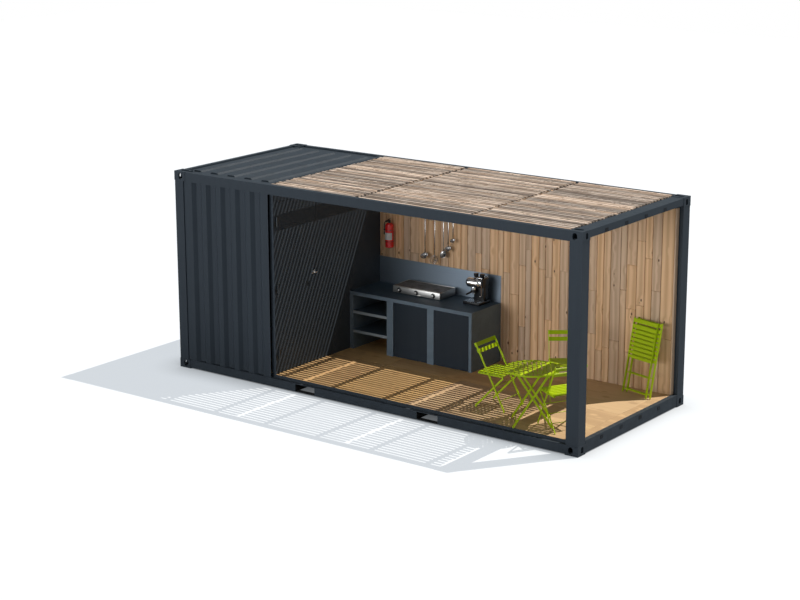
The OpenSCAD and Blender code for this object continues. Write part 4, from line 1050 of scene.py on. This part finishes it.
def add_bowl(name, centre, radius, depth, tilt, wall=0.0012):
    """A spun bowl, open upwards and then tilted to the front."""
    bpy.ops.mesh.primitive_uv_sphere_add(segments=32, ring_count=16, radius=radius)
    bowl = bpy.context.object
    bowl.name = name
    edit_parts(bowl, "polygons", lambda face: face.center.z > 0)
    bpy.ops.mesh.delete(type="FACE")
    bpy.ops.mesh.select_all(action="SELECT")
    bpy.ops.transform.resize(value=(1, 1, depth / radius))
    bpy.ops.object.mode_set(mode="OBJECT")
    sheet = bowl.modifiers.new("sheet", "SOLIDIFY")
    sheet.thickness = wall
    bpy.ops.object.modifier_apply(modifier="sheet")
    bowl.rotation_euler = (tilt, 0, 0)
    bowl.location = centre
    bpy.ops.object.transform_apply()
    return smooth(bowl, 50)


def add_handle(x, y, length):
    """A flat handle with the hook that hangs over the rail."""
    top = rail_z + 0.010
    return [add_block("handle", (x - 0.006, y - 0.0015, rail_z - length + 0.02),
                      (x + 0.006, y + 0.0015, top), 0.0008, 1),
            add_block("hook", (x - 0.005, y - 0.0015, top - 0.003),
                      (x + 0.005, rail_y + 0.010, top), 0.0008, 1),
            add_block("hook", (x - 0.005, rail_y + 0.0075, rail_z - 0.006),
                      (x + 0.005, rail_y + 0.0105, top), 0.0008, 1)]


# Each utensil: its kind, its place along the rail, its length and its bowl's radius.
utensils = [("ladle", 0.184, 0.550, 0.052), ("sieve", 0.340, 0.590, 0.055),
            ("skimmer", 0.476, 0.500, 0.048), ("ladle", 0.554, 0.415, 0.046),
            ("ladle", 0.628, 0.300, 0.034)]
pieces = []
for kind, along, length, radius in utensils:
    x = rail_low.x + along
    pieces += add_handle(x, hang_y, length)
    centre = Vector((x, hang_y - radius * 0.45, rail_z - length + 0.018))
    if kind == "ladle":
        pieces.append(add_bowl("bowl", centre, radius, radius * 0.72, bowl_tilt))
    elif kind == "skimmer":
        pieces.append(add_bowl("dish", centre, radius, radius * 0.25, skimmer_tilt))
    else:
        mesh_bowl = add_bowl("mesh", centre, radius - 0.002, radius * 0.55, sieve_tilt, 0.0005)
        wires = mesh_bowl.modifiers.new("wires", "WIREFRAME")
        wires.thickness = 0.0012
        bpy.ops.object.modifier_apply(modifier="wires")
        bpy.ops.mesh.primitive_torus_add(
            major_radius=radius, minor_radius=0.0022, major_segments=40, minor_segments=8,
            location=centre, rotation=(sieve_tilt, 0, 0))
        bpy.ops.object.transform_apply()
        pieces += [mesh_bowl, bpy.context.object]
hanging = smooth(join(pieces, "hanging_utensils"), 50)
fit(hanging, utensil_material, cabin, "utensil_steel", "utensils")


# ---- Table and chairs ------------------------------------------------------------------
# Folding furniture of flat steel bar and slats, powder coated in a bright lime green.
lime = (0.49, 0.66, 0.002, 1)
lime_deep = (0.41, 0.57, 0.002, 1)
lime_material = mottled("furniture_paint", lime, lime_deep, 7.0, 14.0, 0.34, 0.46, 400.0, 4.0,
                        Coat_Weight=0.05, Specular_IOR_Level=0.25)
coat(["table_top", "table_legs", "chair_left", "chair_right", "chair_rear", "folded_chairs"],
     lime_material)
